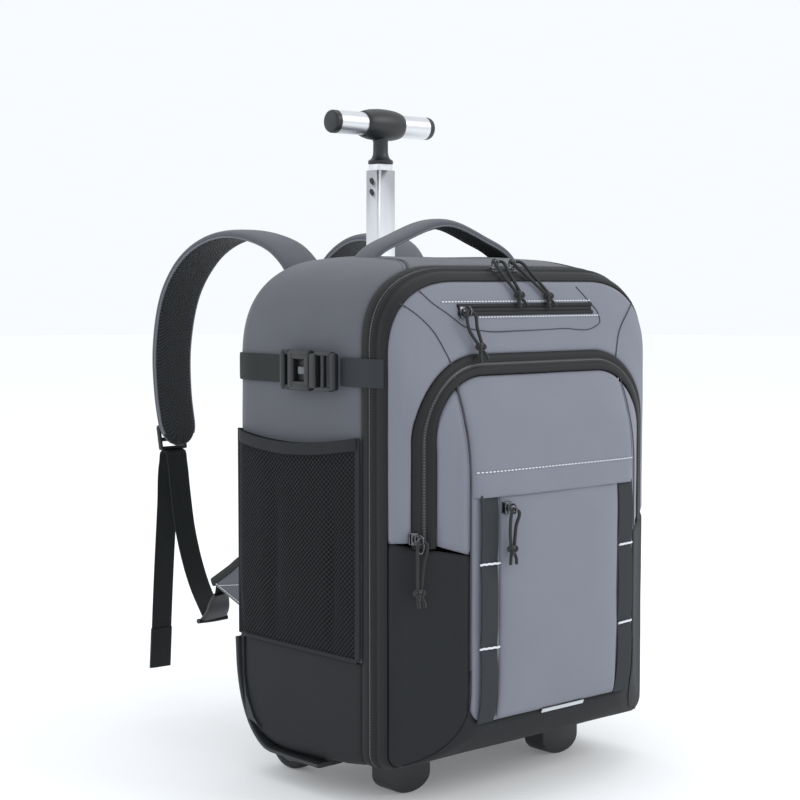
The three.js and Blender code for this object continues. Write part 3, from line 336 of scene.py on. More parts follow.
# A much lighter copy of the black plastic, with a low roughness: painted highlight on the buckle's prong.
GLOSS_HIGHLIGHT = Moulded("glossy_highlit_plastic", Slot.PLASTIC, (0.12, 0.13, 0.14), (0.07, 0.076, 0.08), 0.15)
EDGE_GREY = Cloth("grey_binding", Slot.GREY, (0.17, 0.177, 0.2), (0.13, 0.136, 0.155), 0.75)
BLACK_PLASTIC = Moulded("pole_button_plastic", Slot.PLASTIC, (0.008, 0.009, 0.01), (0.005, 0.005, 0.006), 0.4)
GRIP_METAL = Metal("grip_aluminium", Slot.METAL, (0.72, 0.73, 0.76), (0.62, 0.63, 0.66), 0.34, streak=4.0)
CORD_ROUND = Moulded("round_cord", Slot.CORD, (0.020, 0.023, 0.022), (0.009, 0.010, 0.010), 0.7, grain=0.0002)
# A darker copy of the grey cloth for the top's seams: painted shade in the seam's groove.
GREY_SEAM_SHADE = Moulded("grey_seam_shade", Slot.GREY, (0.050, 0.052, 0.062), (0.03, 0.031, 0.038), 0.9)


# Shapes


def spread(count: int, low: float = 0.0, high: float = 1.0) -> Array:
    """Returns count + 1 even steps from low to high."""
    return np.linspace(low, high, count + 1)


def hermite(t: Array, step: Array, values: Array, lean: Array, i: Array) -> Array:
    """Reads cubic pieces with a lean at each knot, at a share t of the step after knot i."""
    return ((2 * t**3 - 3 * t**2 + 1) * values[i] + (t**3 - 2 * t**2 + t) * step * lean[i]
            + (3 * t**2 - 2 * t**3) * values[i + 1] + (t**3 - t**2) * step * lean[i + 1])


def ease(places: Array, values: Array, at: Array) -> Array:
    """Reads a table with smooth steps that never overshoot.

    Args:
        places: The table's rising places.
        values: Its values there.
        at: Where it is read.

    Returns:
        The values at those places.
    """
    step = np.diff(places)
    slope = np.diff(values) / step
    lean = np.zeros(len(values))
    lean[0], lean[-1] = slope[0], slope[-1]
    for i in range(1, len(values) - 1):
        if slope[i - 1] * slope[i] > 0:
            first = 2 * step[i] + step[i - 1]
            second = step[i] + 2 * step[i - 1]
            lean[i] = (first + second) / (first / slope[i - 1] + second / slope[i])
    at = np.clip(at, places[0], places[-1])
    i = np.clip(np.searchsorted(places, at, side="right") - 1, 0, len(step) - 1)
    return hermite((at - places[i]) / step[i], step[i], values, lean, i)


def run_along(path: Array) -> Array:
    """Returns the length from the start of a path to each of its points."""
    return np.concatenate([[0.0], np.cumsum(np.linalg.norm(np.diff(path, axis=0), axis=1))])


def read_at(table: Array, run: Array, at: Array) -> Array:
    """Reads a table of points or directions, known at the lengths in run, at other lengths."""
    return np.stack([np.interp(at, run, table[:, axis]) for axis in range(3)], axis=1)


def through(points: list, count: int) -> Array:
    """Lays a smooth curve through points and returns count + 1 evenly spaced places on it."""
    known = np.asarray(points, float)
    knots = run_along(known)
    fine = spread(max(400, 4 * count), 0, knots[-1])
    dense = np.stack([natural(knots, known[:, axis], fine) for axis in range(3)], axis=1)
    length = run_along(dense)
    return read_at(dense, length, spread(count, 0, length[-1]))


def natural(knots: Array, values: Array, at: Array) -> Array:
    """Reads a smooth curve through its knots, with the lean at each taken from its neighbours."""
    slope = np.diff(values) / np.diff(knots)
    lean = np.zeros(len(values))
    lean[0], lean[-1] = slope[0], slope[-1]
    for i in range(1, len(values) - 1):
        before, after = knots[i] - knots[i - 1], knots[i + 1] - knots[i]
        lean[i] = (slope[i - 1] * after + slope[i] * before) / (before + after)
    i = np.clip(np.searchsorted(knots, at, side="right") - 1, 0, len(slope) - 1)
    step = knots[i + 1] - knots[i]
    return hermite((at - knots[i]) / step, step, values, lean, i)


def unit(vectors: Array) -> Array:
    """Returns the vectors at length one."""
    return vectors / np.maximum(np.linalg.norm(vectors, axis=-1, keepdims=True), 1e-9)


def cloth_lengths(points: Array) -> tuple[Array, Array]:
    """Returns the lengths over the cloth from its first column, and from its first row, to each point."""
    across = np.zeros(points.shape[:2])
    along = np.zeros(points.shape[:2])
    across[:, 1:] = np.cumsum(np.linalg.norm(np.diff(points, axis=1), axis=2), axis=1)
    along[1:, :] = np.cumsum(np.linalg.norm(np.diff(points, axis=0), axis=2), axis=0)
    return across, along


def lattice(points: Array) -> bmesh.types.BMesh:
    """Makes a grid whose corners lie on a table of points, with a map of cloth lengths.

    Args:
        points: An array of rows by columns by three, in millimetres.

    Returns:
        The mesh, in metres.
    """
    rows, columns = points.shape[0] - 1, points.shape[1] - 1
    bm = bmesh.new()
    bmesh.ops.create_grid(bm, x_segments=columns, y_segments=rows, size=0.5)
    placed = metres(points)
    across, along = cloth_lengths(placed)
    across -= across[:, columns // 2][:, None]
    layer = bm.loops.layers.uv.new("cloth")
    cells = []
    bm.verts.ensure_lookup_table()
    for vert in bm.verts:
        cell = (round((vert.co.y + 0.5) * rows), round((vert.co.x + 0.5) * columns))
        cells.append(cell)
    for vert, cell in zip(bm.verts, cells):
        vert.co = placed[cell]
    bm.verts.index_update()
    for face in bm.faces:
        for loop in face.loops:
            cell = cells[loop.vert.index]
            loop[layer].uv = (across[cell], along[cell])
    bm.normal_update()
    return bm


def outward(bm: bmesh.types.BMesh, inside: Array = INSIDE) -> None:
    """Turns an open sheet so that it faces away from a point inside the bag."""
    heart = place_of(inside)
    lean = sum(face.normal.dot(face.calc_center_median() - heart) * face.calc_area() for face in bm.faces)
    if lean < 0:
        bmesh.ops.reverse_faces(bm, faces=bm.faces[:])


def add_piece(bm: bmesh.types.BMesh, name: str, finishes: list, body: str = "bag", sharp: float = 180.0,
              stands_for: tuple = ()) -> bpy.types.Object:
    """Turns a mesh into a dressed piece that rides on a body.

    Args:
        bm: The mesh, in the shared frame. It is freed.
        name: The piece's name.
        finishes: Its finishes, in the order of its faces' material numbers.
        body: The body it rides on.
        sharp: Edges above this angle, in degrees, stay sharp.
        stands_for: The nodes of the frame that it replaces.

    Returns:
        The new object.
    """
    bm.normal_update()
    mesh = bpy.data.meshes.new(name)
    bm.to_mesh(mesh)
    bm.free()
    mesh.polygons.foreach_set("use_smooth", [True] * len(mesh.polygons))
    if sharp < 180:
        mesh.set_sharp_from_angle(angle=math.radians(sharp))
    for finish in finishes:
        mesh.materials.append(finish.build())
    made = bpy.data.objects.new(name, mesh)
    bpy.context.scene.collection.objects.link(made)
    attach(made, body)
    if stands_for:
        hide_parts(*stands_for)
    LOG.info("%s: %d faces", name, len(mesh.polygons))
    return made


def wall(made: bpy.types.Object, thick: float) -> None:
    """Gives a sheet its thickness, inwards, in millimetres."""
    modifier = made.modifiers.new("wall", "SOLIDIFY")
    modifier.thickness = thick * MM
    modifier.offset = -1.0


def normals_of(points: Array, inside: Array) -> Array:
    """Returns the outward normals of a table of points round a place inside."""
    across = np.gradient(points, axis=1)
    along = np.gradient(points, axis=0)
    up = unit(np.cross(across, along))
    if np.sum(up * (points - inside)) < 0:
        up = -up
    return up


def edge_room(points: Array) -> tuple[Array, Array, Array, Array]:
    """Returns each point's distance, along the sheet, from its left, right, first and last edges."""
    across, along = cloth_lengths(points)
    return across, across[:, -1:] - across, along, along[-1:, :] - along


def ripple(points: Array, height: float) -> Array:
    """Returns a soft uneven rise over the cloth, in millimetres."""
    x, y, z = points[..., 0], points[..., 1], points[..., 2]
    return height * (np.sin(x / 31 + z / 47 + 0.7) * np.sin(z / 39 - y / 29 + 1.9)
                     + 0.5 * np.sin(x / 13 - z / 17 + 0.3) * np.sin(z / 19 + y / 15))


@dataclass
class Cut:
    """How a cut of cloth is finished: its edges rolled into the seams, its middle slightly uneven.

    The edges that are rolled are named l, r, b and t. They go down by drop over about width.
    """

    drop: float = 1.6
    width: float = 2.6
    edges: str = "lrbt"
    unevenness: float = 0.35
    thick: float = 2.2
    inside: Array = field(default_factory=lambda: INSIDE)

    def shape(self, points: Array) -> Array:
        """Returns the points of the finished cut."""
        up = normals_of(points, self.inside)
        rooms = dict(zip("lrbt", edge_room(points)))
        out = ripple(points, self.unevenness)
        for key in self.edges:
            out = out - self.drop * np.exp(-((rooms[key] / self.width) ** 2))
        return points + up * out[..., None]

    def sew(self, name: str, points: Array, finish: Finish, stands_for: tuple) -> None:
        """Makes the cut as a piece with a wall."""
        bm = lattice(self.shape(points))
        outward(bm, self.inside)
        wall(add_piece(bm, name, [finish], stands_for=stands_for), self.thick)


def frames(path: Array, side: Array) -> tuple[Array, Array, Array]:
    """Returns the tangents, sides and normals along a path, each side as near the given one as it can be."""
    tangent = unit(np.gradient(path, axis=0))
    side = np.broadcast_to(np.asarray(side, float), path.shape)
    side = unit(side - tangent * np.sum(side * tangent, axis=1, keepdims=True))
    return tangent, side, np.cross(tangent, side)


def sweep(path: Array, side: Array, profile: Array, scales: Array | None = None) -> Array:
    """Carries a closed profile along a path.

    Args:
        path: Points, in millimetres.
        side: The profile's first axis, as one vector or one for each point.
        profile: Points on the side and the normal, the first repeated at the end.
        scales: A pair of factors for each point of the path, for the two axes.

    Returns:
        A table of points, path by profile.
    """
    _, across, up = frames(path, side)
    if scales is None:
        scales = np.ones((len(path), 2))
    return (path[:, None, :] + across[:, None, :] * (profile[None, :, 0:1] * scales[:, None, 0:1])
            + up[:, None, :] * (profile[None, :, 1:2] * scales[:, None, 1:2]))


def oval(width: float, thick: float, power: float, count: int = 16) -> Array:
    """Returns a closed rounded profile. A higher power squares it."""
    turn = spread(count, 0, 2 * math.pi)
    reach = 2 / power
    return np.stack([width / 2 * np.sign(np.cos(turn)) * np.abs(np.cos(turn)) ** reach,
                     thick / 2 * np.sign(np.sin(turn)) * np.abs(np.sin(turn)) ** reach], axis=1)


def tube_mesh(points: Array, loop: bool = False) -> bmesh.types.BMesh:
    """Closes a swept table of points into a solid, with its two ends filled unless it is a loop."""
    bm = lattice(points)
    bmesh.ops.remove_doubles(bm, verts=bm.verts[:], dist=1e-6)
    if not loop:
        open_edges = [edge for edge in bm.edges if edge.is_boundary]
        bmesh.ops.holes_fill(bm, edges=open_edges, sides=0)
    bmesh.ops.recalc_face_normals(bm, faces=bm.faces[:])
    return bm


def strip(name: str, path: Array, side: object, width: float, thick: float, finish: Finish,
          power: float = 5.0, scales: Array | None = None, stands_for: tuple = (), count: int = 16,
          ) -> bpy.types.Object:
    """Makes a band with rounded edges along a path. Returns it."""
    bm = tube_mesh(sweep(path, side, oval(width, thick, power, count), scales))
    return add_piece(bm, name, [finish], sharp=50, stands_for=stands_for)


def chain(name: str, spots: Array, alongs: Array, ups: Array, size: tuple, finish: Finish) -> None:
    """Makes a row of small blocks, such as stitches.

    Args:
        name: The piece's name.
        spots: The blocks' middles, in millimetres.
        alongs: Each block's length direction.
        ups: Each block's height direction.
        size: Length, width and height, in millimetres.
        finish: The finish.
    """
    bm = bmesh.new()
    placed = metres(spots)
    for spot, along, up in zip(placed, unit(alongs), unit(ups)):
        across = unit(np.cross(up, along))
        up = np.cross(along, across)
        edges = (along * size[0] * MM, across * size[1] * MM, up * size[2] * MM, spot)
        turn = Matrix((*np.stack(edges, axis=1), (0, 0, 0, 1)))
        bmesh.ops.create_cube(bm, size=1.0, matrix=turn)
    add_piece(bm, name, [finish], sharp=30)


def stitches(name: str, path: Array, ups: Array, finish: Finish, length: float = 2.6, pitch: float = 3.9,
             width: float = 0.7, rise: float = 0.3, height: float = 0.7) -> None:
    """Sews a row of stitches along a path that lies on the cloth."""
    run = run_along(path)
    at = np.arange(pitch / 2, run[-1], pitch)
    up = unit(read_at(ups, run, at))
    ahead = read_at(path, run, at + 0.2) - read_at(path, run, at - 0.2)
    chain(name, read_at(path, run, at) + up * rise, ahead, up, (length, width, height), finish)


def round_edges(bm: bmesh.types.BMesh, edges: list, size: float, segments: int) -> None:
    """Rounds some edges of a mesh. The size is in millimetres."""
    bmesh.ops.bevel(bm, geom=edges, offset=size * MM, offset_type="OFFSET", segments=segments, profile=0.5,
                    affect="EDGES", material=-1)


def block_mesh(low: tuple, high: tuple, bevel: float, segments: int = 2) -> bmesh.types.BMesh:
    """Returns a bevelled block's mesh, in metres, with no shift between the two frames."""
    first, last = np.array(low, float) * MM, np.array(high, float) * MM
    bm = bmesh.new()
    matrix = Matrix.Translation(Vector((first + last) / 2)) @ Matrix.Diagonal((*(last - first), 1.0))
    bmesh.ops.create_cube(bm, size=1.0, matrix=matrix)
    round_edges(bm, bm.edges[:], bevel, segments)
    return bm


def carry(bm: bmesh.types.BMesh, way: Vector) -> None:
    """Moves a whole mesh, by a way in metres."""
    bmesh.ops.translate(bm, verts=bm.verts[:], vec=way)


def nearest_on(bm: bmesh.types.BMesh, path: Array) -> list[tuple[bmesh.types.BMFace, int, Array]]:
    """Returns each face with the number of the path's nearest point and the way from there, in metres."""
    line = metres(path)
    found = []
    for face in bm.faces:
        spot = np.array(face.calc_center_median())
        nearest = int(np.argmin(np.sum((line - spot) ** 2, axis=1)))
        found.append((face, nearest, spot - line[nearest]))
    return found


def join(target: bmesh.types.BMesh, source: bmesh.types.BMesh) -> None:
    """Adds one mesh to another and frees the added one."""
    spare = bpy.data.meshes.new("spare")
    source.to_mesh(spare)
    source.free()
    target.from_mesh(spare)
    bpy.data.meshes.remove(spare)


def lathe(profile: list, axis: str, centre: tuple, segments: int = 48) -> bmesh.types.BMesh:
    """Spins a profile of (radius, place) pairs about an axis through a centre, and closes it.

    Args:
        profile: Radius and place along the axis, in millimetres.
        axis: "x" or "z".
        centre: A point on the axis, in the bag's own frame.
        segments: How many steps the spin takes.

    Returns:
        The mesh, in metres.
    """
    bm = bmesh.new()
    verts = []
    for radius, place in profile:
        spot = (place, radius, 0) if axis == "x" else (radius, 0, place)
        verts.append(bm.verts.new(Vector(spot) * MM))
    edges = [bm.edges.new((verts[i], verts[i + 1])) for i in range(len(verts) - 1)]
    way = (1, 0, 0) if axis == "x" else (0, 0, 1)
    bmesh.ops.spin(bm, geom=verts + edges, cent=(0, 0, 0), axis=way, angle=2 * math.pi, steps=segments,
                   use_merge=True)
    bmesh.ops.remove_doubles(bm, verts=bm.verts[:], dist=1e-6)
    bmesh.ops.recalc_face_normals(bm, faces=bm.faces[:])
    carry(bm, place_of(centre))
    return bm


# The sack's form


@dataclass(frozen=True)
class Section:
    """One cross section of the sack, in shares.

    depth is a share of the bag's depth. half, wide and high are shares of its half width: the section's
    own half width, and the width and height of its upper corners. top and floor are shares of its height.
    """

    depth: float
    half: float
    top: float
    floor: float
    wide: float
    high: float


SECTIONS = (
    Section(0, 0.852, 0.95, 0.2, 0.56, 0.48),
    Section(0.012, 0.924, 0.972, 0.14, 0.58, 0.5),
    Section(0.04, 0.973, 0.985, 0.083, 0.6, 0.51),
    Section(0.094, 1, 0.996, 0.03, 0.62, 0.52),
    Section(0.3, 1.005, 1, 0.003, 0.62, 0.52),
    Section(0.575, 1.003, 0.993, 0.012, 0.58, 0.46),
    Section(0.706, 1, 0.979, 0.022, 0.52, 0.42),
    Section(0.823, 0.988, 0.95, 0.03, 0.48, 0.4),
    Section(0.85, 0.947, 0.909, 0.034, 0.45, 0.39),
    Section(0.872, 0.888, 0.846, 0.04, 0.42, 0.39),
    Section(0.9, 0.82, 0.787, 0.051, 0.39, 0.4),
    Section(0.951, 0.704, 0.729, 0.083, 0.34, 0.34),
    Section(0.981, 0.633, 0.677, 0.118, 0.3, 0.3),
    Section(1, 0.45, 0.55, 0.19, 0.22, 0.22),
)


@dataclass
class Sack:
    """The bag's outer form, as a loft through its cross sections.

    A turn runs from 0 in the middle to 1 at a foot. crown and shoulder are the turns where an upper
    corner begins and ends, and sole and heel those of a lower one.
    """

    width: float = 338
    top: float = 489
    floor: float = 28
    back: float = BACK_Y
    deep: float = 266
    power: float = 2.35
    corner: float = 14
    band_rear: float = 0.7068
    band_front: float = 0.8233
    crown: float = 0.28
    shoulder: float = 0.6
    sole: float = 0.55
    heel: float = 0.7

    def row(self, depth: Array) -> dict[str, Array]:
        """Returns the sizes of the cross sections at some depths, in millimetres."""
        places = np.array([section.depth for section in SECTIONS])
        table = {name: ease(places, np.array([getattr(section, name) for section in SECTIONS]), depth)
                 for name in ("half", "top", "floor", "wide", "high")}
        half = self.width / 2
        return {"half": table["half"] * half, "top": self.floor + table["top"] * (self.top - self.floor),
                "low": self.floor + table["floor"] * (self.top - self.floor), "wide": table["wide"] * half,
                "high": table["high"] * half, "lower": self.corner + np.maximum(0, depth - 0.85) * 120}

    def over(self, depth: Array, turn: Array, foot: float) -> Array:
        """Returns points on the part of the cross sections above a height.

        Args:
            depth: Shares of the depth, from the back.
            turn: From -1 at the left foot, over 0 at the top, to 1 at the right foot.
            foot: The height of the feet.

        Returns:
            The points, in millimetres.
        """
        depth, turn = np.broadcast_arrays(np.asarray(depth, float), np.asarray(turn, float))
        row = self.row(depth)
        share = np.abs(turn)
        flat = np.clip(share / self.crown, 0, 1) * (row["half"] - row["wide"])
        angle = np.clip((share - self.crown) / (self.shoulder - self.crown), 0, 1) * math.pi / 2
        reach = 2 / self.power
        x = flat + row["wide"] * np.sin(angle) ** reach * (share > self.crown)
        z = row["top"] - row["high"] * (1 - np.cos(angle) ** reach)
        drop = np.clip((share - self.shoulder) / (1 - self.shoulder), 0, 1)
        z = z - drop * (row["top"] - row["high"] - foot)
        return np.stack([np.sign(turn) * x, self.back - depth * self.deep, z], axis=-1)

    def lower_angle(self, share: Array) -> Array:
        """Returns how far round the lower corner a turn is, as an angle."""
        return np.clip((share - self.sole) / (self.heel - self.sole), 0, 1) * math.pi / 2

    def climb(self, share: Array) -> Array:
        """Returns how far up the side from the lower corner a turn is, from 0 to 1."""
        return np.clip((share - self.heel) / (1 - self.heel), 0, 1)

    def under(self, depth: Array, turn: Array, head: Array) -> Array:
        """Returns points on the cross sections below a height, with turn 0 at the bottom's middle."""
        depth, turn, head = np.broadcast_arrays(np.asarray(depth, float), np.asarray(turn, float),
                                                np.asarray(head, float))
        row = self.row(depth)
        share = np.abs(turn)
        flat = np.clip(share / self.sole, 0, 1) * (row["half"] - row["lower"])
        angle = self.lower_angle(share)
        x = flat + row["lower"] * np.sin(angle)
        z = row["low"] + row["lower"] * (1 - np.cos(angle))
        z = z + self.climb(share) * (head - row["low"] - row["lower"])
        return np.stack([np.sign(turn) * x, self.back - depth * self.deep, z], axis=-1)

    def beyond(self, depth: Array, x: Array, z: Array) -> Array:
        """Returns how far outside a cross section points lie, above 0 outside it."""
        row = self.row(depth)
        across = np.maximum(0, np.abs(x) - row["half"] + row["wide"]) / row["wide"]
        up = np.maximum(0, z - row["top"] + row["high"]) / row["high"]
        upper = (across**self.power + up**self.power) ** (1 / self.power) - 1
        side = np.maximum(0, np.abs(x) - row["half"] + row["lower"]) / row["lower"]
        down = np.maximum(0, row["low"] + row["lower"] - z) / row["lower"]
        lower = np.hypot(side, down) - 1
        return np.maximum(upper * row["wide"], lower * row["lower"])

    def front(self, x: Array, z: Array) -> Array:
        """Returns the points of the sloped front at some places across and up."""
        x, z = np.broadcast_arrays(np.asarray(x, float), np.asarray(z, float))
        near, far = np.full(x.shape, 0.5), np.ones(x.shape)
        for _ in range(26):
            depth = (near + far) / 2
            inside = self.beyond(depth.ravel(), x.ravel(), z.ravel()).reshape(x.shape) <= 0
            near, far = np.where(inside, depth, near), np.where(inside, far, depth)
        return np.stack([x, self.back - near * self.deep, z], axis=-1)

    def front_up(self, points: Array) -> Array:
        """Returns the outward normals of the front at points on it."""
        x, z = points[..., 0], points[..., 2]
        step = 1.5
        east = self.front(x + step, z)[..., 1] - self.front(x - step, z)[..., 1]
        north = self.front(x, z + step)[..., 1] - self.front(x, z - step)[..., 1]
        return unit(np.stack([east / (2 * step), -np.ones(x.shape), north / (2 * step)], axis=-1))

    def band_path(self, depth: float, count: int = 900) -> tuple[Array, Array]:
        """Returns the closed line round the bag at a depth, and the outward normals there."""
        upper = self.over(np.full(count, depth), spread(count - 1, -1, 1), 200.0)
        lower = self.under(np.full(count // 2, depth), spread(count // 2 - 1, 1, -1), 200.0)
        ring = np.concatenate([upper, lower[1:]])
        keep = np.concatenate([[True], np.linalg.norm(np.diff(ring, axis=0), axis=1) > 0.05])
        ring = ring[keep]
        run = run_along(ring)
        ring = read_at(ring, run, spread(count, 0, run[-1]))
        ring[-1] = ring[0]
        ahead = np.roll(ring[:-1], -1, axis=0) - np.roll(ring[:-1], 1, axis=0)
        ahead = np.concatenate([ahead, ahead[:1]])
        up = unit(np.stack([-ahead[:, 2], np.zeros(len(ahead)), ahead[:, 0]], axis=1))
        if np.sum(up * (ring - INSIDE)) < 0:
            up = -up
        return ring, up


SACK = Sack()


# Studio


@dataclass
class Studio:
    """The camera, the pale floor and the soft lights."""

    eye: tuple = (-1140.66, -1207.75, 463.48)
    yaw: float = 41.91
    pitch: float = 3.873
    focal: float = 1726.6
    picture: float = 800.0

    def camera(self) -> None:
        """Places the camera at the photograph's angle."""
        data = bpy.data.cameras.new("camera")
        data.sensor_width = 36.0
        data.lens = self.focal / self.picture * data.sensor_width
        data.clip_end = 50.0
        made = bpy.data.objects.new("camera", data)
        made.location = metres(np.array(self.eye))
        made.rotation_euler = (math.radians(90 - self.pitch), 0.0, -math.radians(self.yaw))
        bpy.context.scene.collection.objects.link(made)
        bpy.context.scene.camera = made

    def floor(self) -> None:
        """Makes the pale floor."""
        graph = Graph("pale_floor")
        graph.sockets(Roughness=0.9, Specular_IOR_Level=0.1)
        graph.shader.inputs["Base Color"].default_value = (0.90, 0.91, 0.92, 1)
        graph.shader.inputs["Emission Color"].default_value = (1.0, 1.0, 1.0, 1)
        graph.shader.inputs["Emission Strength"].default_value = 0.12
        bm = bmesh.new()
        bmesh.ops.create_circle(bm, cap_ends=True, segments=64, radius=14.0)
        mesh = bpy.data.meshes.new("floor")
        bm.to_mesh(mesh)
        bm.free()
        mesh.materials.append(graph.material)
        made = bpy.data.objects.new("floor", mesh)
        bpy.context.scene.collection.objects.link(made)

    def lamp(self, name: str, place: tuple, target: tuple, size: float, watts: float, colour: tuple) -> None:
        """Adds a soft square light that looks at a target. Places are in metres."""
        data = bpy.data.lights.new(name, "AREA")
        data.shape = "SQUARE"
        data.size = size
        data.energy = watts
        data.color = colour
        made = bpy.data.objects.new(name, data)
        made.location = place
        made.rotation_euler = (Vector(target) - Vector(place)).to_track_quat("-Z", "Y").to_euler()
        bpy.context.scene.collection.objects.link(made)

    def light(self) -> None:
        """Sets the pale surroundings and the lamps."""
        world = bpy.data.worlds.new("surroundings")
        world.use_nodes = True
        world.node_tree.nodes["Background"].inputs[0].default_value = (0.94, 0.97, 1.0, 1)
        world.node_tree.nodes["Background"].inputs[1].default_value = 1.0
        bpy.context.scene.world = world
        self.lamp("key", (1.6, -2.6, 2.3), (0, 0, 0.3), 1.6, 34.0, (1.0, 0.99, 0.98))
        self.lamp("top", (0.3, 0.2, 3.2), (0, 0, 0.2), 2.0, 12.0, (1.0, 1.0, 1.0))
        self.lamp("rim", (-2.4, 1.6, 1.5), (-0.1, 0.1, 0.35), 1.2, 7.0, (0.98, 1.0, 1.0))
        bpy.context.scene.view_settings.view_transform = "Standard"


# Zipper pulls


@dataclass(frozen=True)
class PullPlan:
    """Where one zipper slider and its cord lie, in millimetres."""

    name: str
    cord: str
    hole: tuple
    lean: float
    mids: tuple
    knot: tuple
    ends: tuple
    link: float = 0.0


PULLS = (
    PullPlan("main_slider_left", "main_pull_left", (-24, -93, 481.5), 80,
             ((-28, -107.5, 470.5), (-19, -108.5, 469.5)), (-16, -116.8, 452),
             ((-17, -119, 441), (-9, -119.5, 443))),
    PullPlan("main_slider_right", "main_pull_right", (-2, -93, 481.5), 80,
             ((2, -107.5, 470.5), (11, -108.5, 469.5)), (22, -116.8, 451),
             ((21, -119, 440), (29, -119.5, 442))),
    PullPlan("top_pocket_slider", "top_pocket_pull", (-87, -123.5, 439), 12,
             ((-88, -125, 424), (-78, -125.5, 424)), (-77, -129, 407),
             ((-79, -131.5, 394), (-71, -131.5, 397))),
    PullPlan("front_slider", "front_pull", (-149, -129, 244), 0,
             ((-154, -131, 222), (-147, -131, 222)), (-152, -131, 198),
             ((-152, -131, 186), (-145, -131, 186)), 14.0),
    PullPlan("pouch_slider", "pouch_pull", (-72, -165, 268), 0,
             ((-76, -165, 252), (-69, -165, 252)), (-72, -164, 232),
             ((-74, -163.5, 219), (-67, -164, 219))),
)


@dataclass
class Pulls:
    """Cord loops with an overhand knot, each through a slider's bail."""

    thick: float = 3.0
    knot_size: float = 3.8
    blocks: tuple = (((-4.2, 5.6, -5.2), (4.2, 8.0, 5.6), 1.0), ((-2.4, 3.4, -2.6), (2.4, 6.2, 3.6), 0.9),
                     ((-4.2, 9.0, -5.2), (4.2, 11.0, 5.6), 0.8), ((-1.2, 7.0, 1.4), (1.2, 10.0, 4.6), 0.4))

    def turned(self, plan: PullPlan, spot: tuple) -> tuple:
        """Returns a spot beside the bail's hole, turned with the slider."""
        lean = -math.radians(plan.lean)
        x, y, z = spot
        return (plan.hole[0] + x, plan.hole[1] + y * math.cos(lean) - z * math.sin(lean),
                plan.hole[2] + y * math.sin(lean) + z * math.cos(lean))

    def strand(self, name: str, points: list) -> bpy.types.Object:
        """Makes a round cord on one open smooth curve. Returns it."""
        line = metres(through(points, 22))
        data = bpy.data.curves.new(name, "CURVE")
        data.dimensions = "3D"
        spline = data.splines.new("POLY")
        spline.points.add(len(line) - 1)
        for point, place in zip(spline.points, line):
            point.co = (*place, 1.0)
        data.bevel_depth = self.thick / 2 * MM
        data.bevel_resolution = 3
        data.use_fill_caps = True
        data.materials.append(CORD_ROUND.build())
        made = bpy.data.objects.new(name, data)
        bpy.context.scene.collection.objects.link(made)
        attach(made, "bag")
        return made

    def knot(self, plan: PullPlan) -> bpy.types.Object:
        """Makes the overhand knot with its two short tails. Returns it."""
        turn = spread(60, 0, 2 * math.pi)
        size = self.knot_size / 2
        path = np.stack([np.sin(turn) + 2 * np.sin(2 * turn), -1.1 * np.sin(3 * turn),
                         np.cos(turn) - 2 * np.cos(2 * turn)], axis=1) * size * 0.78 + np.array(plan.knot)
        ahead = np.roll(path[:-1], -1, axis=0) - np.roll(path[:-1], 1, axis=0)
        ahead = unit(np.concatenate([ahead, ahead[:1]]))
        side = unit(np.cross(ahead, path - np.array(plan.knot) + 1e-6))
        up = np.cross(ahead, side)
        circle = oval(self.thick, self.thick, 2, 10)
        points = path[:, None] + side[:, None] * circle[None, :, :1] + up[:, None] * circle[None, :, 1:]
        bm = tube_mesh(points, loop=True)
        for way, end in zip((-1, 1), plan.ends):
            start = np.array(plan.knot) + (way * 1.2, 0, -2.0)
            tail = through([start, (start + np.array(end)) / 2 + (way * 0.8, -0.6, 0), end], 8)
            join(bm, tube_mesh(sweep(tail, (0, 1, 0), circle)))
        return add_piece(bm, f"{plan.cord}_knot", [CORD], sharp=60)

    def slider(self, plan: PullPlan) -> None:
        """Makes the slider's body, its bail and its link."""
        turn = Matrix.Translation(place_of(plan.hole)) @ Matrix.Rotation(-math.radians(plan.lean), 4, "X")
        bm = bmesh.new()
        for low, high, bevel in self.blocks:
            join(bm, block_mesh(low, high, bevel))
        ring = self.ring(3.9, 3.9, 0.8)
        quarter = Matrix.Rotation(math.pi / 2, 3, "Z")
        bmesh.ops.rotate(ring, cent=(0, 0, 0), matrix=quarter, verts=ring.verts[:])
        join(bm, ring)
        if plan.link:
            link = self.ring(4.1, plan.link / 2, 1.0)
            carry(link, Vector((0, -0.6, -plan.link / 2 + 2.2)) * MM)
            join(bm, link)
        bmesh.ops.transform(bm, matrix=turn, verts=bm.verts[:])
        add_piece(bm, plan.name, [GUNMETAL], sharp=40, stands_for=(plan.name,))

    def ring(self, wide: float, high: float, thick: float) -> bmesh.types.BMesh:
        """Returns an oval wire ring in the plane of x and z, round the origin, in metres."""
        turn = spread(32, 0, 2 * math.pi)
        path = np.stack([wide * np.cos(turn), 0 * turn, high * np.sin(turn)], axis=1)
        out = unit(path)
        circle = oval(2 * thick, 2 * thick, 2, 10)
        points = (path[:, None] + out[:, None] * circle[None, :, :1]
                  + np.array([0, 1, 0]) * circle[None, :, 1:])
        points[..., 1] -= SHIFT / MM
        return tube_mesh(points, loop=True)

    def build(self) -> None:
        for plan in PULLS:
            left, right = [self.turned(plan, (way * 3.9, -2.0, -2.0)) for way in (-1, 1)]
            low = [(plan.knot[0] + way * 1.9, plan.knot[1], plan.knot[2] + 1.5) for way in (-1, 1)]
            main = self.strand(plan.cord, [plan.hole, right, plan.mids[1], low[1]])
            other = self.strand(f"{plan.cord}_back", [plan.hole, left, plan.mids[0], low[0]])
            knot = self.knot(plan)
            line = through([plan.hole, right, plan.mids[1], low[1]], 22)
            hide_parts(plan.cord)
            tuple(metres(np.array(plan.hole, float)))
            self.slider(plan)


# The sack's pieces


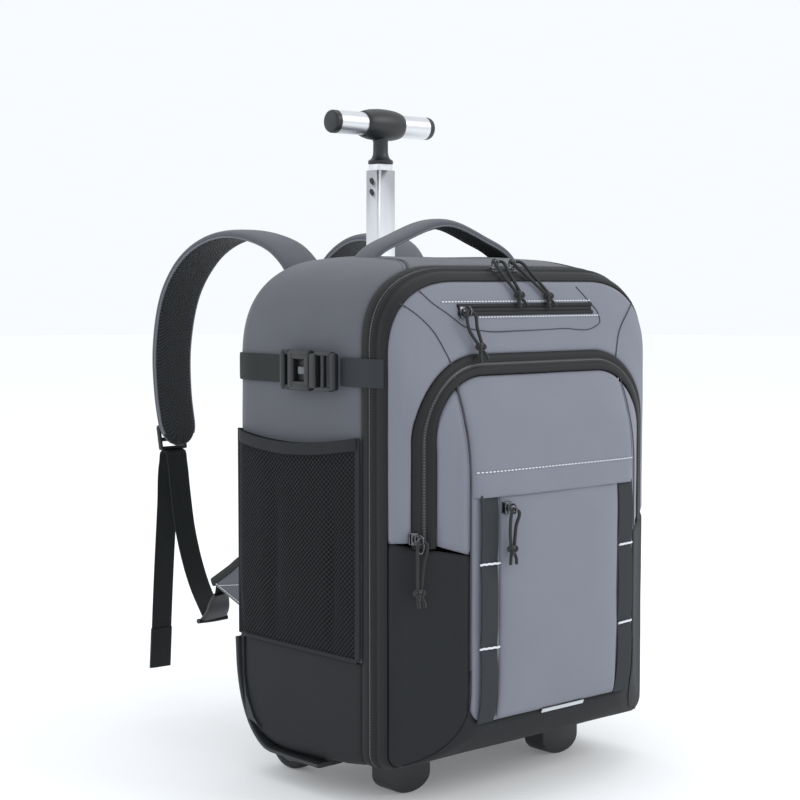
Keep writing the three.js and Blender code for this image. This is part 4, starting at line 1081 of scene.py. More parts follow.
@dataclass
class RearShell:
    """The grey sides, top and back of the main compartment, and its black base."""

    foot: float = 131.0
    well: tuple = ((109.6, 152.0), (35.4, 130.0), 68.0)
    rings: tuple = (0.985, 0.95, 0.88, 0.78, 0.66, 0.52, 0.38, 0.22, 0.08, 0.004)
    seam: tuple = ((-97, 6), (-94, -18), (-95, -40), (-104, -60), (-117, -78))

    def depths(self) -> Array:
        """Returns the rows' depths, closer together round the back edge."""
        return np.concatenate([spread(48, SACK.band_rear, 0.1), spread(24, 0.1, 0.0)[1:]])

    def backed(self, points: Array, foot: float) -> Array:
        """Adds the flat back to a table whose last row lies on the back's edge."""
        last = points[-1]
        rows = []
        for share in self.rings:
            row = last.copy()
            row[:, 0] *= share
            row[:, 2] = foot + (row[:, 2] - foot) * share
            rows.append(row)
        return np.concatenate([points, np.array(rows)])

    def top_at(self, x: Array, y: Array) -> Array:
        """Returns the points of the bag's top at places across and back."""
        x, y = np.asarray(x, float), np.asarray(y, float)
        row = SACK.row((SACK.back - y) / SACK.deep)
        share = np.clip((np.abs(x) - row["half"] + row["wide"]) / row["wide"], 0, 1)
        z = row["top"] - row["high"] * (1 - (1 - share**SACK.power) ** (1 / SACK.power))
        return np.stack([x, y, z], axis=-1)

    def build(self) -> None:
        """Makes the shell, the base and the seams."""
        depth = self.depths()[:, None]
        upper = self.backed(SACK.over(depth, spread(300, -1, 1)[None, :], self.foot), self.foot)
        Cut(edges="b", unevenness=0.45, thick=2.4).sew("rear_shell", upper, GREY, ("rear_shell",))
        lower = self.backed(SACK.under(depth, spread(280, -1, 1)[None, :], self.foot - 0.4), self.foot - 0.4)
        cut = Cut(edges="b", unevenness=0.3, thick=2.4)
        bm = lattice(cut.shape(lower))
        outward(bm)
        (x_low, x_high), (y_low, y_high), z_high = self.well
        gone = []
        for face in bm.faces:
            spot = face.calc_center_median()
            x, y, z = abs(spot.x) / MM, (spot.y - SHIFT) / MM, spot.z / MM
            if x_low < x < x_high and y_low < y < y_high and z < z_high:
                gone.append(face)
        bmesh.ops.delete(bm, geom=gone, context="FACES")
        wall(add_piece(bm, "rear_base", [BLACK], stands_for=("rear_base",)), 2.4)
        for side, name in SIDES:
            flat = through([(-side * x, y, 0) for x, y in self.seam], 60)
            path = self.top_at(flat[:, 0], flat[:, 1])
            up = unit(np.stack([0.35 * np.sign(path[:, 0]), 0 * path[:, 0], np.ones(len(path))], axis=1))
            # A darker grey strip along each top seam: painted shade in its groove.
            strip(f"top_seam_{name}", path + up * 0.1, up, 1.0, 1.3, GREY_SEAM_SHADE, power=2, count=8)
            for index, offset in enumerate((-3.2, 3.2)):
                _, _, beside = frames(path, up)
                row = path + beside * offset
                row[:, 2] = self.top_at(row[:, 0], row[:, 1])[:, 2]
                stitches(f"top_stitches_{name}_{index}", row, up, GREY_THREAD, 2.2, 3.6, 0.6, 0.3, 0.6)


@dataclass
class MainZipper:
    """The band of tape, coil and piping all round the bag."""

    rises: tuple = ((0, -0.6), (0.04, 0.5), (0.18, 1.2), (0.29, 0.9), (0.325, 0.0), (0.40, 0.0), (0.43, 0.9),
                    (0.50, 2.0), (0.57, 0.9), (0.60, 0.0), (0.64, 0.9), (0.78, 1.5), (0.93, 0.9), (1, -0.6))

    def build(self) -> None:
        """Makes the band and the coil in its groove."""
        share = spread(40)
        depth = SACK.band_rear + (SACK.band_front - SACK.band_rear) * share
        upper = SACK.over(depth[None, :], spread(430, -1, 1)[:, None], 200.0)
        lower = SACK.under(depth[None, :], spread(250, 1, -1)[:, None], 200.0)
        points = np.concatenate([upper, lower[1:]])
        up = unit(np.cross(np.gradient(points, axis=1), np.gradient(points, axis=0)))
        up[0] = up[-1] = unit(up[1] + up[-2])
        if np.sum(up * (points - INSIDE)) < 0:
            up = -up
        rise = np.interp(share, *zip(*self.rises))
        points = points + up * rise[None, :, None]
        points[-1] = points[0]
        bm = lattice(points)
        bmesh.ops.remove_doubles(bm, verts=bm.verts[:], dist=1e-6)
        outward(bm)
        wall(add_piece(bm, "main_zipper", [TAPE], stands_for=("main_zipper",)), 2.0)
        at = SACK.band_rear + (SACK.band_front - SACK.band_rear) * 0.362
        path, ups = SACK.band_path(at, 1560)
        self.coil("main_coil", path, ups, np.broadcast_to((0.0, 1.0, 0.0), path.shape), 2.6)
        stitches("main_coil_glints", path, ups, GLINT, 0.55, 2.4, 0.6, 0.75, 0.5)

    def coil(self, name: str, path: Array, ups: Array, across: Array, wide: float, loop: bool = True) -> None:
        """Makes a ribbed coil along a path."""
        profile = np.array([(0.5, 0.0), (0.42, 0.7), (0.12, 1.0), (-0.12, 1.0), (-0.42, 0.7), (-0.5, 0.0),
                            (0.0, -0.5), (0.5, 0.0)])
        beat = np.where(np.arange(len(path)) % 2 == 0, 1.0, 0.55)
        if loop:
            beat[-1] = beat[0]
        points = (path[:, None] + across[:, None] * profile[None, :, :1] * wide
                  + ups[:, None] * profile[None, :, 1:] * beat[:, None, None] * 0.95)
        add_piece(tube_mesh(points, loop), name, [COIL], sharp=50)


@dataclass
class FrontZipLine:
    """The upside-down U of the front compartment's zipper, as a line that can be set outwards."""

    half: float = 141.0
    top: float = 392.0
    corner: float = 66.0
    end: float = 235.0

    @property
    def spans(self) -> tuple[float, float, float]:
        """Returns the lengths of the straight side, the corner and the straight top."""
        return self.top - self.corner - self.end, self.corner * math.pi / 2, 2 * (self.half - self.corner)

    @property
    def length(self) -> float:
        """Returns the whole line's length."""
        side, bend, top = self.spans
        return 2 * side + 2 * bend + top

    def at(self, run: Array, out: Array) -> tuple[Array, Array]:
        """Returns the places across and up at some runs along the line, set outwards."""
        run, out = np.broadcast_arrays(np.asarray(run, float), np.asarray(out, float))
        side, bend, _ = self.spans
        mirrored = run > self.length / 2
        run = np.where(mirrored, self.length - run, run)
        angle = np.clip((run - side) / bend, 0, 1) * math.pi / 2
        reach = self.corner + out
        x = -(self.half - self.corner) - reach * np.cos(angle) + np.maximum(0, run - side - bend)
        z = self.top - self.corner + reach * np.sin(angle) - np.maximum(0, side - run)
        return np.where(mirrored, -x, x), z

    def at_turn(self, turn: Array, out: float, foot: float) -> tuple[Array, Array]:
        """Returns the same, by a turn from -1 at the left foot to 1 at the right one."""
        side, bend, _ = self.spans
        share = 1 - np.abs(turn)
        run = np.interp(share, (0, 0.4, 0.72, 1), (foot - self.end, side, side + bend, self.length / 2))
        return self.at(np.where(turn > 0, self.length - run, run), out)

    def inner_top(self, x: Array, out: float) -> Array:
        """Returns the height of the line, set outwards, above places across."""
        reach = np.clip(np.abs(x) - (self.half - self.corner), 0, self.corner + out)
        return self.top - self.corner + np.sqrt((self.corner + out) ** 2 - reach**2)


ZIP_LINE = FrontZipLine()


@dataclass
class FrontPanels:
    """The front compartment: gusset, zipper, grey panels, flap, pouch and black base."""

    zip_half: float = 9.0
    piping: float = 107.0
    black_top: float = 240.0
    black_front: float = 228.0
    floor: float = 78.0
    corner: float = 22.0
    flap_floor: float = 278.0
    flap_lift: float = 4.2
    flap_fall: float = 26.0
    flap_side: float = 9.0
    flap_stitch: float = 300.0
    pouch_half: float = 77.5
    rises: tuple = ((0, -0.5), (0.06, 0.6), (0.2, 1.3), (0.36, 0.8), (0.41, 0.1), (0.59, 0.1), (0.64, 0.8),
                    (0.8, 1.3), (0.94, 0.6), (1, -0.5))
    gusset_seam: tuple = ((-151.5, 446), (-136, 434.5), (-121, 419.5), (-112, 403), (-105.5, 388))
    base_seam: tuple = ((-107, 128), (-107, 104), (-108, 86), (-114, 70), (-125, 57), (-139, 49), (-154, 45))

    def black_line(self, x: Array) -> Array:
        """Returns the height of the black zone's upper edge."""
        share = (np.abs(x) - self.piping) / (ZIP_LINE.half - self.piping)
        return self.black_front + (self.black_top - self.black_front) * np.clip(share, 0, 1)

    def panel_floor(self, x: Array) -> Array:
        """Returns the height of the grey panel's lower edge, with its round corners."""
        reach = np.clip(np.abs(x) - self.piping + self.corner, 0, self.corner)
        return self.floor + self.corner - np.sqrt(self.corner**2 - reach**2)

    def between(self, outer: Array, x: Array, z: Array, rows: int) -> Array:
        """Returns a table of points on the front between a line on it and places across and up."""
        share = spread(rows)[:, None]
        return SACK.front(outer[None, :, 0] * (1 - share) + x[None, :] * share,
                          outer[None, :, 2] * (1 - share) + z[None, :] * share)

    def upright(self, x: Array, low: Array, high: Array, rows: int) -> Array:
        """Returns a table of points on the front between two heights at places across."""
        share = spread(rows)[:, None]
        return SACK.front(np.broadcast_to(x[None, :], (rows + 1, len(x))), low[None, :] * (1 - share)
                          + high[None, :] * share)

    def seam(self, name: str, line: object, finish: Finish, side: int = -1, size: float = 1.1) -> None:
        """Lays a thin dark strip on the front along the left side's places, mirrored for side 1, as painted
        shade in the seam's groove.
        """
        flat = through([(-side * x, 0, z) for x, z in line], 70)
        path = SACK.front(flat[:, 0], flat[:, 2])
        up = SACK.front_up(path)
        strip(name, path + up * 0.3, up, 0.9, size, finish, power=2, count=8)

    def gusset(self) -> None:
        """Makes the grey band round the front zipper, with its seams."""
        turn = spread(240, -1, 1)
        outer = SACK.over(SACK.band_front, turn, self.black_top)
        x, z = ZIP_LINE.at_turn(turn, self.zip_half, self.black_top)
        Cut(edges="lrbt", unevenness=0.2).sew("front_gusset", self.between(outer, x, z, 26), FRONT,
                                              ("front_gusset",))
        for side, name in SIDES:
            self.seam(f"gusset_seam_{name}", self.gusset_seam, SEAM, side)

    def zipper(self) -> None:
        """Makes the front zipper's tapes and coil."""
        run = spread(300, 0, ZIP_LINE.length)
        share = spread(28)
        x, z = ZIP_LINE.at(run[:, None], (2 * share[None, :] - 1) * self.zip_half)
        points = SACK.front(x, z)
        rise = np.interp(share, *zip(*self.rises))
        points = points + SACK.front_up(points) * rise[None, :, None]
        bm = lattice(points)
        outward(bm)
        wall(add_piece(bm, "front_zipper", [TAPE], stands_for=("front_zipper",)), 1.8)
        run = spread(640, 1, ZIP_LINE.length - 1)
        x, z = ZIP_LINE.at(run, 0.0)
        path = SACK.front(x, z)
        ups = SACK.front_up(path)
        ahead = unit(np.gradient(path, axis=0))
        MainZipper().coil("front_coil", path, ups, np.cross(ups, ahead), 4.2, loop=False)
        stitches("front_coil_glints", path, ups, GLINT, 0.5, 2.6, 0.6, 0.8, 0.4)

    def panels(self) -> None:
        """Makes the grey panels inside the zipper: two side strips and the middle one behind the pouch."""
        inner = ZIP_LINE.half - self.zip_half
        bm = None
        for side in (-1, 1):
            x = side * spread(16, inner, self.piping + 0.2)
            points = self.upright(x, self.black_line(x) + 0.3, ZIP_LINE.inner_top(x, -self.zip_half), 70)
            sheet = lattice(Cut(drop=2.0, width=3.0, unevenness=0.4).shape(points))
            outward(sheet)
            if bm is None:
                bm = sheet
                continue
            join(bm, sheet)
        x = spread(90, -self.piping + 0.2, self.piping - 0.2)
        middle = lattice(Cut(edges="lrb", unevenness=0.3).shape(
            self.upright(x, self.panel_floor(x), np.full(len(x), self.flap_floor + 6), 70)))
        outward(middle)
        join(bm, middle)
        wall(add_piece(bm, "front_panel", [FRONT], stands_for=("front_panel",)), 2.0)

    def flap_rise(self, points: Array) -> Array:
        """Returns how far the flap stands off the front: most at its lower edge, nothing at its sides."""
        high = (points[..., 2] - self.flap_floor) / self.flap_fall
        side = (np.abs(points[..., 0]) - self.piping) / self.flap_side
        return self.flap_lift * np.exp(-(high**2)) * (1 - np.exp(-(side**2)))

    def flap(self) -> None:
        """Makes the flap with its hanging lower edge and white stitches."""
        x = spread(100, -self.piping + 0.2, self.piping - 0.2)
        points = self.upright(x, np.full(len(x), self.flap_floor), ZIP_LINE.inner_top(x, -self.zip_half), 60)
        points = points + SACK.front_up(points) * self.flap_rise(points)[..., None]
        cut = Cut(edges="lrt", unevenness=0.2, drop=1.8)
        cut.sew("front_flap", points, FRONT, ("front_flap",))
        line = spread(120, -self.piping + 4, self.piping - 4)
        path = SACK.front(line, np.full(len(line), self.flap_stitch))
        up = SACK.front_up(path)
        path = path + up * self.flap_rise(path)[..., None]
        stitches("flap_stitches", path, up, THREAD, 2.3, 4.3, 1.0, 0.75, 0.7)

    def pouch(self) -> None:
        """Makes the crowned pouch under the flap."""
        x = spread(70, -self.pouch_half, self.pouch_half)
        z = spread(80, self.floor + 4, self.flap_floor + 3)
        flat = np.stack(np.broadcast_arrays(x[None, :], BACK_Y - SACK.deep - 1.6, z[:, None]), axis=-1)
        wide = np.abs(x) / self.pouch_half
        high = (z - z[0]) / (z[-1] - z[0])
        crown = (1 - wide**5)[None, :] * (1 - np.abs(2 * high - 1) ** 6)[:, None]
        tuck = np.maximum(0, wide[None, :] - 0.965) * 60
        flat[..., 1] += -6.4 * crown + tuck + 2.0 * (1 - high[:, None]) ** 8
        surface = SACK.front(flat[..., 0], flat[..., 2])[..., 1]
        flat[..., 1] = np.minimum(flat[..., 1], surface - 0.4)
        cut = Cut(drop=0.6, edges="b", unevenness=0.55, thick=1.8)
        cut.sew("front_pouch", flat, FRONT, ("front_pouch",))

    def base(self) -> None:
        """Makes the black zone below, with its curved seams."""
        turn = spread(300, -1, 1)
        outer = SACK.under(SACK.band_front, turn, np.full(len(turn), self.black_top))
        share = np.abs(turn)
        angle = SACK.lower_angle(share)
        x = np.clip(share / SACK.sole, 0, 1) * (self.piping - self.corner) + self.corner * np.sin(angle)
        z = self.floor + self.corner * (1 - np.cos(angle))
        z = z + SACK.climb(share) * (self.black_front - self.floor - self.corner)
        points = self.between(outer, np.sign(turn) * x, z, 34)
        Cut(edges="lrbt", unevenness=0.2).sew("front_base", points, BLACK, ("front_base",))
        for side, name in SIDES:
            self.seam(f"base_seam_{name}", self.base_seam, BLACK_SEAM_SHADE, side, 1.4)
            # The piping lines are thin dark strips: painted shade along the piping seams.
            piping = [(-self.piping, z) for z in (384, 300, 220, 150, 102)]
            self.seam(f"piping_{name}", piping, SEAM, side)

    def build(self) -> None:
        """Makes every front piece."""
        self.gusset()
        self.zipper()
        self.panels()
        self.flap()
        self.pouch()
        self.base()


@dataclass
class FrontTrim:
    """The two webbings beside the pouch, their white bar tacks, and the silver strip below."""

    x: float = 89.0
    width: float = 20.0
    low: float = 79.5
    high: float = 280.0
    tacks: tuple = (220.0, 146.0)

    def build(self) -> None:
        """Makes the webbings, tacks and strip."""
        for side, name in SIDES:
            z = spread(100, self.low, self.high)
            path = SACK.front(np.full(len(z), side * self.x), z)
            up = SACK.front_up(path)
            held = np.array([*self.tacks, self.low, self.high])
            near = np.min(np.abs(z[:, None] - held[None, :]), axis=1)
            path = path + up * (1.1 + 1.6 * (1 - np.exp(-((near / 12.0) ** 2))))[:, None]
            strip(f"front_webbing_{name}", path, (1, 0, 0), self.width, 1.7, WEBBING,
                  stands_for=(f"front_webbing_{name}",), count=20)
            for index, tack in enumerate(self.tacks):
                half = self.width / 2 + 0.6
                row = spread(20, side * self.x - half, side * self.x + half)
                line = SACK.front(row, np.full(len(row), tack))
                line[:, 2] += 0.22 * np.sin(row * 1.1)
                lift = SACK.front_up(line)
                strip(f"bar_tack_{name}_{index}", line + lift * 2.8, lift, 1.6, 2.0, THREAD, power=3, count=8)
        row = spread(30, -16.0, 39.0)
        line = SACK.front(row, np.full(len(row), 77.5))
        lift = SACK.front_up(line)
        strip("reflective_strip", line + lift * 0.9, lift, 1.2, 4.0, SILVER, power=3.5, count=12)


@dataclass
class TopPocket:
    """The zipped pocket in the sloped top, with its stitched panel."""

    left: float = -92.0
    right: float = 83.0
    z: float = 440.0
    outline: tuple = ((-131, 457), (-122, 448), (-103, 436), (-86, 425.5), (-62, 421), (-20, 420.5),
                      (40, 421.5), (84, 422.5), (92.5, 427), (91, 435), (80, 447), (67, 460))

    def line(self, low: float, high: float, z: float, count: int = 90) -> tuple[Array, Array]:
        """Returns a level line on the slope and its normals."""
        x = spread(count, low, high)
        path = SACK.front(x, np.full(len(x), z))
        return path, SACK.front_up(path)

    def build(self) -> None:
        """Makes the zipper, the stitches and the pocket's seam."""
        for index, offset in enumerate((-3.6, 3.6)):
            path, up = self.line(self.left, self.right, self.z + offset)
            made = strip(f"top_pocket_lip_{index}", path + up * 0.7, up, 1.6, 3.4, TAPE, power=2.6, count=12)
            if index == 0:
                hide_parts("top_pocket_zipper")
        path, up = self.line(self.left + 1, self.right - 1, self.z)
        # The near-black strip between the lips is painted shade in the pocket's opening.
        strip("top_pocket_gap", path + up * 0.15, up, 0.9, 4.6, BLACK_SEAM_SHADE, power=3, count=8)
        path, up = self.line(self.left + 2, self.right - 2, self.z, 230)
        across = np.cross(up, unit(np.gradient(path, axis=0)))
        MainZipper().coil("top_pocket_coil", path, up, across, 2.6, loop=False)
        path, up = self.line(self.left - 18, self.right, self.z + 7.0)
        stitches("top_pocket_stitches_upper", path, up, THREAD, 2.2, 3.7, 0.95, 0.6, 0.7)
        path, up = self.line(self.left + 24, self.right + 8, self.z - 6.8)
        stitches("top_pocket_stitches_lower", path, up, THREAD, 2.2, 3.7, 0.95, 0.6, 0.7)
        FrontPanels().seam("top_pocket_seam", self.outline, SEAM, -1, 0.9)


# Straps, handle and pockets


@dataclass
class GrabHandle:
    """The padded carrying handle, grey above and net below."""

    half: float = 97.0
    rise: float = 38.0
    width: float = 30.0
    thick: float = 10.0
    y: float = 10.0
    lining: float = -2.4

    def path(self, lift: float = 0.0) -> Array:
        """Returns the arch's line, moved up by a lift."""
        foot = SACK.top - 6 + lift
        return through([(-self.half - 6, self.y, foot - 8), (-self.half + 12, self.y, foot + 9),
                        (-self.half * 0.55, self.y, foot + 23), (0, self.y, foot + self.rise),
                        (self.half * 0.55, self.y, foot + 23), (self.half - 12, self.y, foot + 9),
                        (self.half + 6, self.y, foot - 8)], 110)

    def build(self) -> None:
        """Makes the grey pad, its net underside and the binding between them."""
        path = self.path(-0.8)
        share = spread(110)
        squeeze = 1 - 0.10 * np.abs(2 * share - 1) ** 4
        scales = np.stack([squeeze, 1 - 0.2 * np.abs(2 * share - 1) ** 6], axis=1)
        profile = oval(self.width, self.thick, 2.7, 40)
        bm = tube_mesh(sweep(path, (0, 1, 0), profile, scales))
        up = np.cross(np.gradient(path, axis=0), (0, 1, 0))
        sign = -1 if up[len(up) // 2][2] < 0 else 1
        for face, nearest, way in nearest_on(bm, path):
            out = float(np.dot(way, unit(up[nearest] * sign)))
            face.material_index = 1 if out < self.lining * MM else 0
        made = add_piece(bm, "grab_handle", [GREY, SPACER], stands_for=("grab_handle", "grab_handle_lining"))
        for side, name in ((-1, "rear"), (1, "front")):
            _, across, _ = frames(path, (0, 1, 0))
            line = path + across * (-side * (self.width / 2 - 0.9) * squeeze[:, None]) - unit(up * sign) * 1.9
            strip(f"grab_binding_{name}", line, (0, 1, 0), 2.2, 2.2, EDGE_GREY, power=2, count=10)


@dataclass
class BackPad:
    """The padded net back with sewn channels. channel and level hold a channel's depth and half width."""

    half: float = 128.0
    low: float = 150.0
    high: float = 436.0
    thick: float = 8.0
    corner: float = 24.0
    edge: float = 7.0
    channels: tuple = (-44.0, 44.0)
    channel: tuple = (4.6, 5.0)
    levels: tuple = (238.0, 332.0)
    level: tuple = (3.2, 4.0)
    level_half: float = 120.0

    def build(self) -> None:
        """Makes the pad, crowned between its channels and thin at its edges."""
        x, z = spread(110, -self.half, self.half), spread(120, self.low, self.high)
        across, up = np.meshgrid(x, z)
        half, high = self.half, (self.high - self.low) / 2
        middle = (self.high + self.low) / 2
        corner = self.corner
        reach = np.hypot(np.maximum(0, np.abs(across) - half + corner),
                         np.maximum(0, np.abs(up - middle) - high + corner)) - corner
        room = np.maximum(0, -np.maximum.reduce([reach, np.abs(across) - half, np.abs(up - middle) - high]))
        shrink = np.where(reach > 0, (corner / np.maximum(reach + corner, 1e-6)), 1.0)
        held_x = np.clip(across, -half + corner, half - corner)
        held_z = np.clip(up, middle - high + corner, middle + high - corner)
        across = np.where(reach > 0, held_x + (across - held_x) * shrink, across)
        up = np.where(reach > 0, held_z + (up - held_z) * shrink, up)
        rise = self.thick * (1 - np.exp(-((room / self.edge) ** 2)))
        deep, wide = self.channel
        for place in self.channels:
            rise = rise - deep * np.exp(-(((across - place) / wide) ** 2)) * (room > 0)
        deep, wide = self.level
        held = (room > 0) * (np.abs(across) < self.level_half)
        for place in self.levels:
            rise = rise - deep * np.exp(-(((up - place) / wide) ** 2)) * held
        rise = np.maximum(rise, 0.4)
        points = np.stack([across, BACK_Y + rise, up], axis=-1)
        bm = lattice(points)
        bmesh.ops.remove_doubles(bm, verts=bm.verts[:], dist=1e-6)
        outward(bm)
        made = add_piece(bm, "back_panel", [SPACER], stands_for=("back_panel",))
        wall(made, 1.2)


@dataclass
class NetPocket:
    """A side pocket: a stretched net with an elastic edge and soft folds."""

    front: float = -72.0
    rear: float = 104.0
    floor: float = 132.5
    top: float = 327.0
    sag: float = 8.0
    bulge: float = 9.5
    cell: float = 4.7
    folds: tuple = ((0.34, 0.06, 4.6), (0.80, 0.036, 6.0))

    def surface(self, side: int, across: Array, up: Array, out: float) -> Array:
        """Returns points of the net by shares across and up, set outwards."""
        across, up = np.broadcast_arrays(across, up)
        y = self.rear + (self.front - self.rear) * across
        half = SACK.row((SACK.back - y) / SACK.deep)["half"]
        high = self.top - self.sag * np.sin(math.pi * across) + 2 * across
        z = self.floor + (high - self.floor) * up
        swell = np.sin(math.pi * np.clip(across, 0, 1)) ** 0.6
        swell = swell * np.minimum(1, 3.2 * up) ** 0.8 * (1 - 0.3 * up)
        fold = sum(deep * np.exp(-(((across - place - 0.04 * np.sin(3 * up)) / wide) ** 2)) * (1 - up) ** 0.7
                   for place, wide, deep in self.folds)
        face = half + 1.8 + np.maximum(0, self.bulge * swell - 1.5 * fold * swell) + 0.8 * np.sin(
            across * 21 + up * 4) * swell * 0.4
        return np.stack([side * (face + out), y, z], axis=-1)

    def build(self) -> None:
        """Makes both pockets: the net, a near-black sheet behind it as painted shade inside the pocket, its
        edge and its folds.
        """
        for side, name in SIDES:
            columns = round((self.rear - self.front) / self.cell)
            rows = round((self.top - self.floor) / self.cell)
            points = self.surface(side, spread(columns)[None, :], spread(rows)[:, None] * 0.955, 0.7)
            bm = lattice(points)
            ring = [edge for edge in bm.edges if not edge.is_boundary]
            bmesh.ops.poke(bm, faces=bm.faces[:])
            bmesh.ops.dissolve_edges(bm, edges=ring, use_verts=False)
            outward(bm)
            bmesh.ops.wireframe(bm, faces=bm.faces[:], thickness=0.42 * MM, offset=0.0, use_replace=True,
                                use_boundary=True, use_even_offset=True)
            add_piece(bm, f"mesh_pocket_{name}", [NET], stands_for=(f"mesh_pocket_{name}",))
            # A near-black sheet over the grey side wall behind the net, darker than the black cloth: painted
            # shade inside the pocket.
            inner = self.surface(side, spread(60)[None, :], spread(40)[:, None], 0.0)
            inner[..., 0] = side * (np.abs(inner[..., 0]) * 0.25 + 0.75 * (SACK.width / 2 + 1.6))
            sheet = lattice(inner)
            outward(sheet)
            wall(add_piece(sheet, f"pocket_back_{name}", [POCKET_SHADE]), 0.6)
            edge = self.surface(side, spread(80), np.full(81, 0.972), 0.9)
            strip(f"pocket_edge_{name}", edge, (0, 0, 1), 11.0, 2.4, EDGING, power=3.2, count=18)
            for end, share in (("rear", 0.0), ("front", 1.0)):
                seam = self.surface(side, np.full(41, share), spread(40), 0.4)
                strip(f"pocket_seam_{name}_{end}", seam, (0, 1, 0), 7.0, 1.8, EDGING, power=3, count=14)
            foot = self.surface(side, spread(60), np.full(61, 0.0), 0.6)
            strip(f"pocket_foot_{name}", foot, (0, 0, 1), 4.0, 1.8, EDGING, power=3, count=14)


@dataclass
class SideStraps:
    """The side compression straps with fastened side-release buckles."""

    z: float = 386.0
    belt: float = 25.0
    turn: float = 25.0
    socket: float = 42.0
    plug: float = 34.0
    meet: float = -18.0

    def build(self) -> None:
        """Makes both straps and buckles."""
        half, lift = SACK.width / 2, 1.4
        corner = (half - self.turn, BACK_Y - self.turn)
        reach = self.turn + lift + 0.3
        bend = [(-(corner[0] + reach * math.cos(share * math.pi / 2)), corner[1] + reach * math.sin(
            share * math.pi / 2), self.z) for share in (0.9, 0.6, 0.3, 0.05)]
        rear = [(-half + 40, BACK_Y + lift, self.z), *bend, (-half - lift - 1.4, 60, self.z),
                (-half - lift - 2, self.meet + self.socket - 2, self.z)]
        for side, name in SIDES:
            mirror = np.array([-side, 1, 1])
            path = through(rear, 60) * mirror
            strip(f"side_strap_rear_{name}", path, (0, 0, 1), self.belt, 1.7, PLAIN_WEBBING,
                  stands_for=(f"side_strap_rear_{name}",), count=20)
            rows = SACK.row((SACK.back - np.array([-75.0, -103.0])) / SACK.deep)["half"]
            front = through([(-half - lift - 1.2, self.meet - self.plug + 1, self.z),
                             (-rows[0] - 2.6, -75, self.z), (-rows[0] - 2.6, -90, self.z),
                             (-rows[1] - 1.4, -104, self.z)], 40) * mirror
            strip(f"side_strap_front_{name}", front, (0, 0, 1), self.belt, 1.7, WEBBING,
                  stands_for=(f"side_strap_front_{name}",), count=20)
            # The dark line across the strap is painted shade along its sewn tack.
            seam = np.array([(-half - 3.4, 34.0, self.z - 11), (-half - 3.4, 34.0, self.z + 11)]) * mirror
            strip(f"side_strap_tack_{name}", np.linspace(seam[0], seam[1], 20), (0, 1, 0), 1.0, 0.9,
                  BLACK_SEAM_SHADE, power=2, count=8)
            self.buckle(side, name, half + 2 * lift + 1.9)

    def part(self, side: int, near: float, low: tuple, high: tuple, out: tuple, bevel: float,
             ) -> bmesh.types.BMesh:
        """Returns a bevelled block of the buckle: low and high in y and z, and the span outwards."""
        spans = sorted((side * (near + out[0]), side * (near + out[1])))
        made = block_mesh((spans[0], min(low[0], high[0]), min(low[1], high[1])),
                          (spans[1], max(low[0], high[0]), max(low[1], high[1])), bevel, 3)
        carry(made, place_of((0, 0, 0)))
        return made

    def buckle(self, side: int, name: str, near: float) -> None:
        """Makes one buckle's socket and plug."""
        z, meet = self.z, self.meet
        tail = meet + self.socket
        socket = self.part(side, near, (meet, z + 18), (meet + 29, z + 9.5), (0.4, 8.6), 2.2)
        for low, high, out, bevel in (((meet, z - 18), (meet + 29, z - 9.5), (0.4, 8.6), 2.2),
                                      ((meet + 22, z - 17), (meet + 30, z + 17), (0.6, 8.9), 2.0),
                                      ((meet, z - 12), (meet + 6.5, z + 12), (0.5, 8.7), 1.6),
                                      ((meet + 4, z - 12), (meet + 24, z + 12), (0.2, 3.0), 0.8),
                                      ((tail - 11, z + 18), (tail - 4, z + 13.2), (1.4, 7.0), 1.6),
                                      ((tail - 11, z - 18), (tail - 4, z - 13.2), (1.4, 7.0), 1.6),
                                      ((tail - 6.5, z - 18), (tail, z + 18), (0.8, 8.6), 2.6)):
            join(socket, self.part(side, near, low, high, out, bevel))
        add_piece(socket, f"buckle_socket_{name}", [PLASTIC], sharp=45, stands_for=(f"buckle_socket_{name}",))
        plug = self.part(side, near, (meet - 0.4, z - 15.5), (meet - 9, z + 15.5), (0.8, 8.6), 1.8)
        for low, high, out, bevel in (((meet + 16, z - 4.2), (meet - 5, z + 4.2), (2.8, 7.4), 1.6),
                                      ((meet + 13, z + 14.5), (meet - 6, z + 10.2), (2.2, 7.0), 1.2),
                                      ((meet + 13, z - 14.5), (meet - 6, z - 10.2), (2.2, 7.0), 1.2),
                                      ((meet - 6, z + 17.6), (meet - 29, z + 13.4), (0.8, 7.6), 1.9),
                                      ((meet - 6, z - 17.6), (meet - 29, z - 13.4), (0.8, 7.6), 1.9),
                                      ((meet - 28, z - 16.5), (meet - 34, z + 16.5), (0.6, 8.0), 2.4),
                                      ((meet - 16, z - 14.5), (meet - 20, z + 14.5), (3.0, 7.8), 1.4)):
            join(plug, self.part(side, near, low, high, out, bevel))
        add_piece(plug, f"buckle_plug_{name}", [PLASTIC], sharp=45, stands_for=(f"buckle_plug_{name}",))
        # The prong's face is painted lighter than the buckle: painted highlight.
        prong = self.part(side, near, (meet + 15, z - 3.4), (meet + 3.5, z + 3.4), (7.0, 8.0), 0.9)
        add_piece(prong, f"buckle_prong_{name}", [GLOSS_HIGHLIGHT], sharp=45)


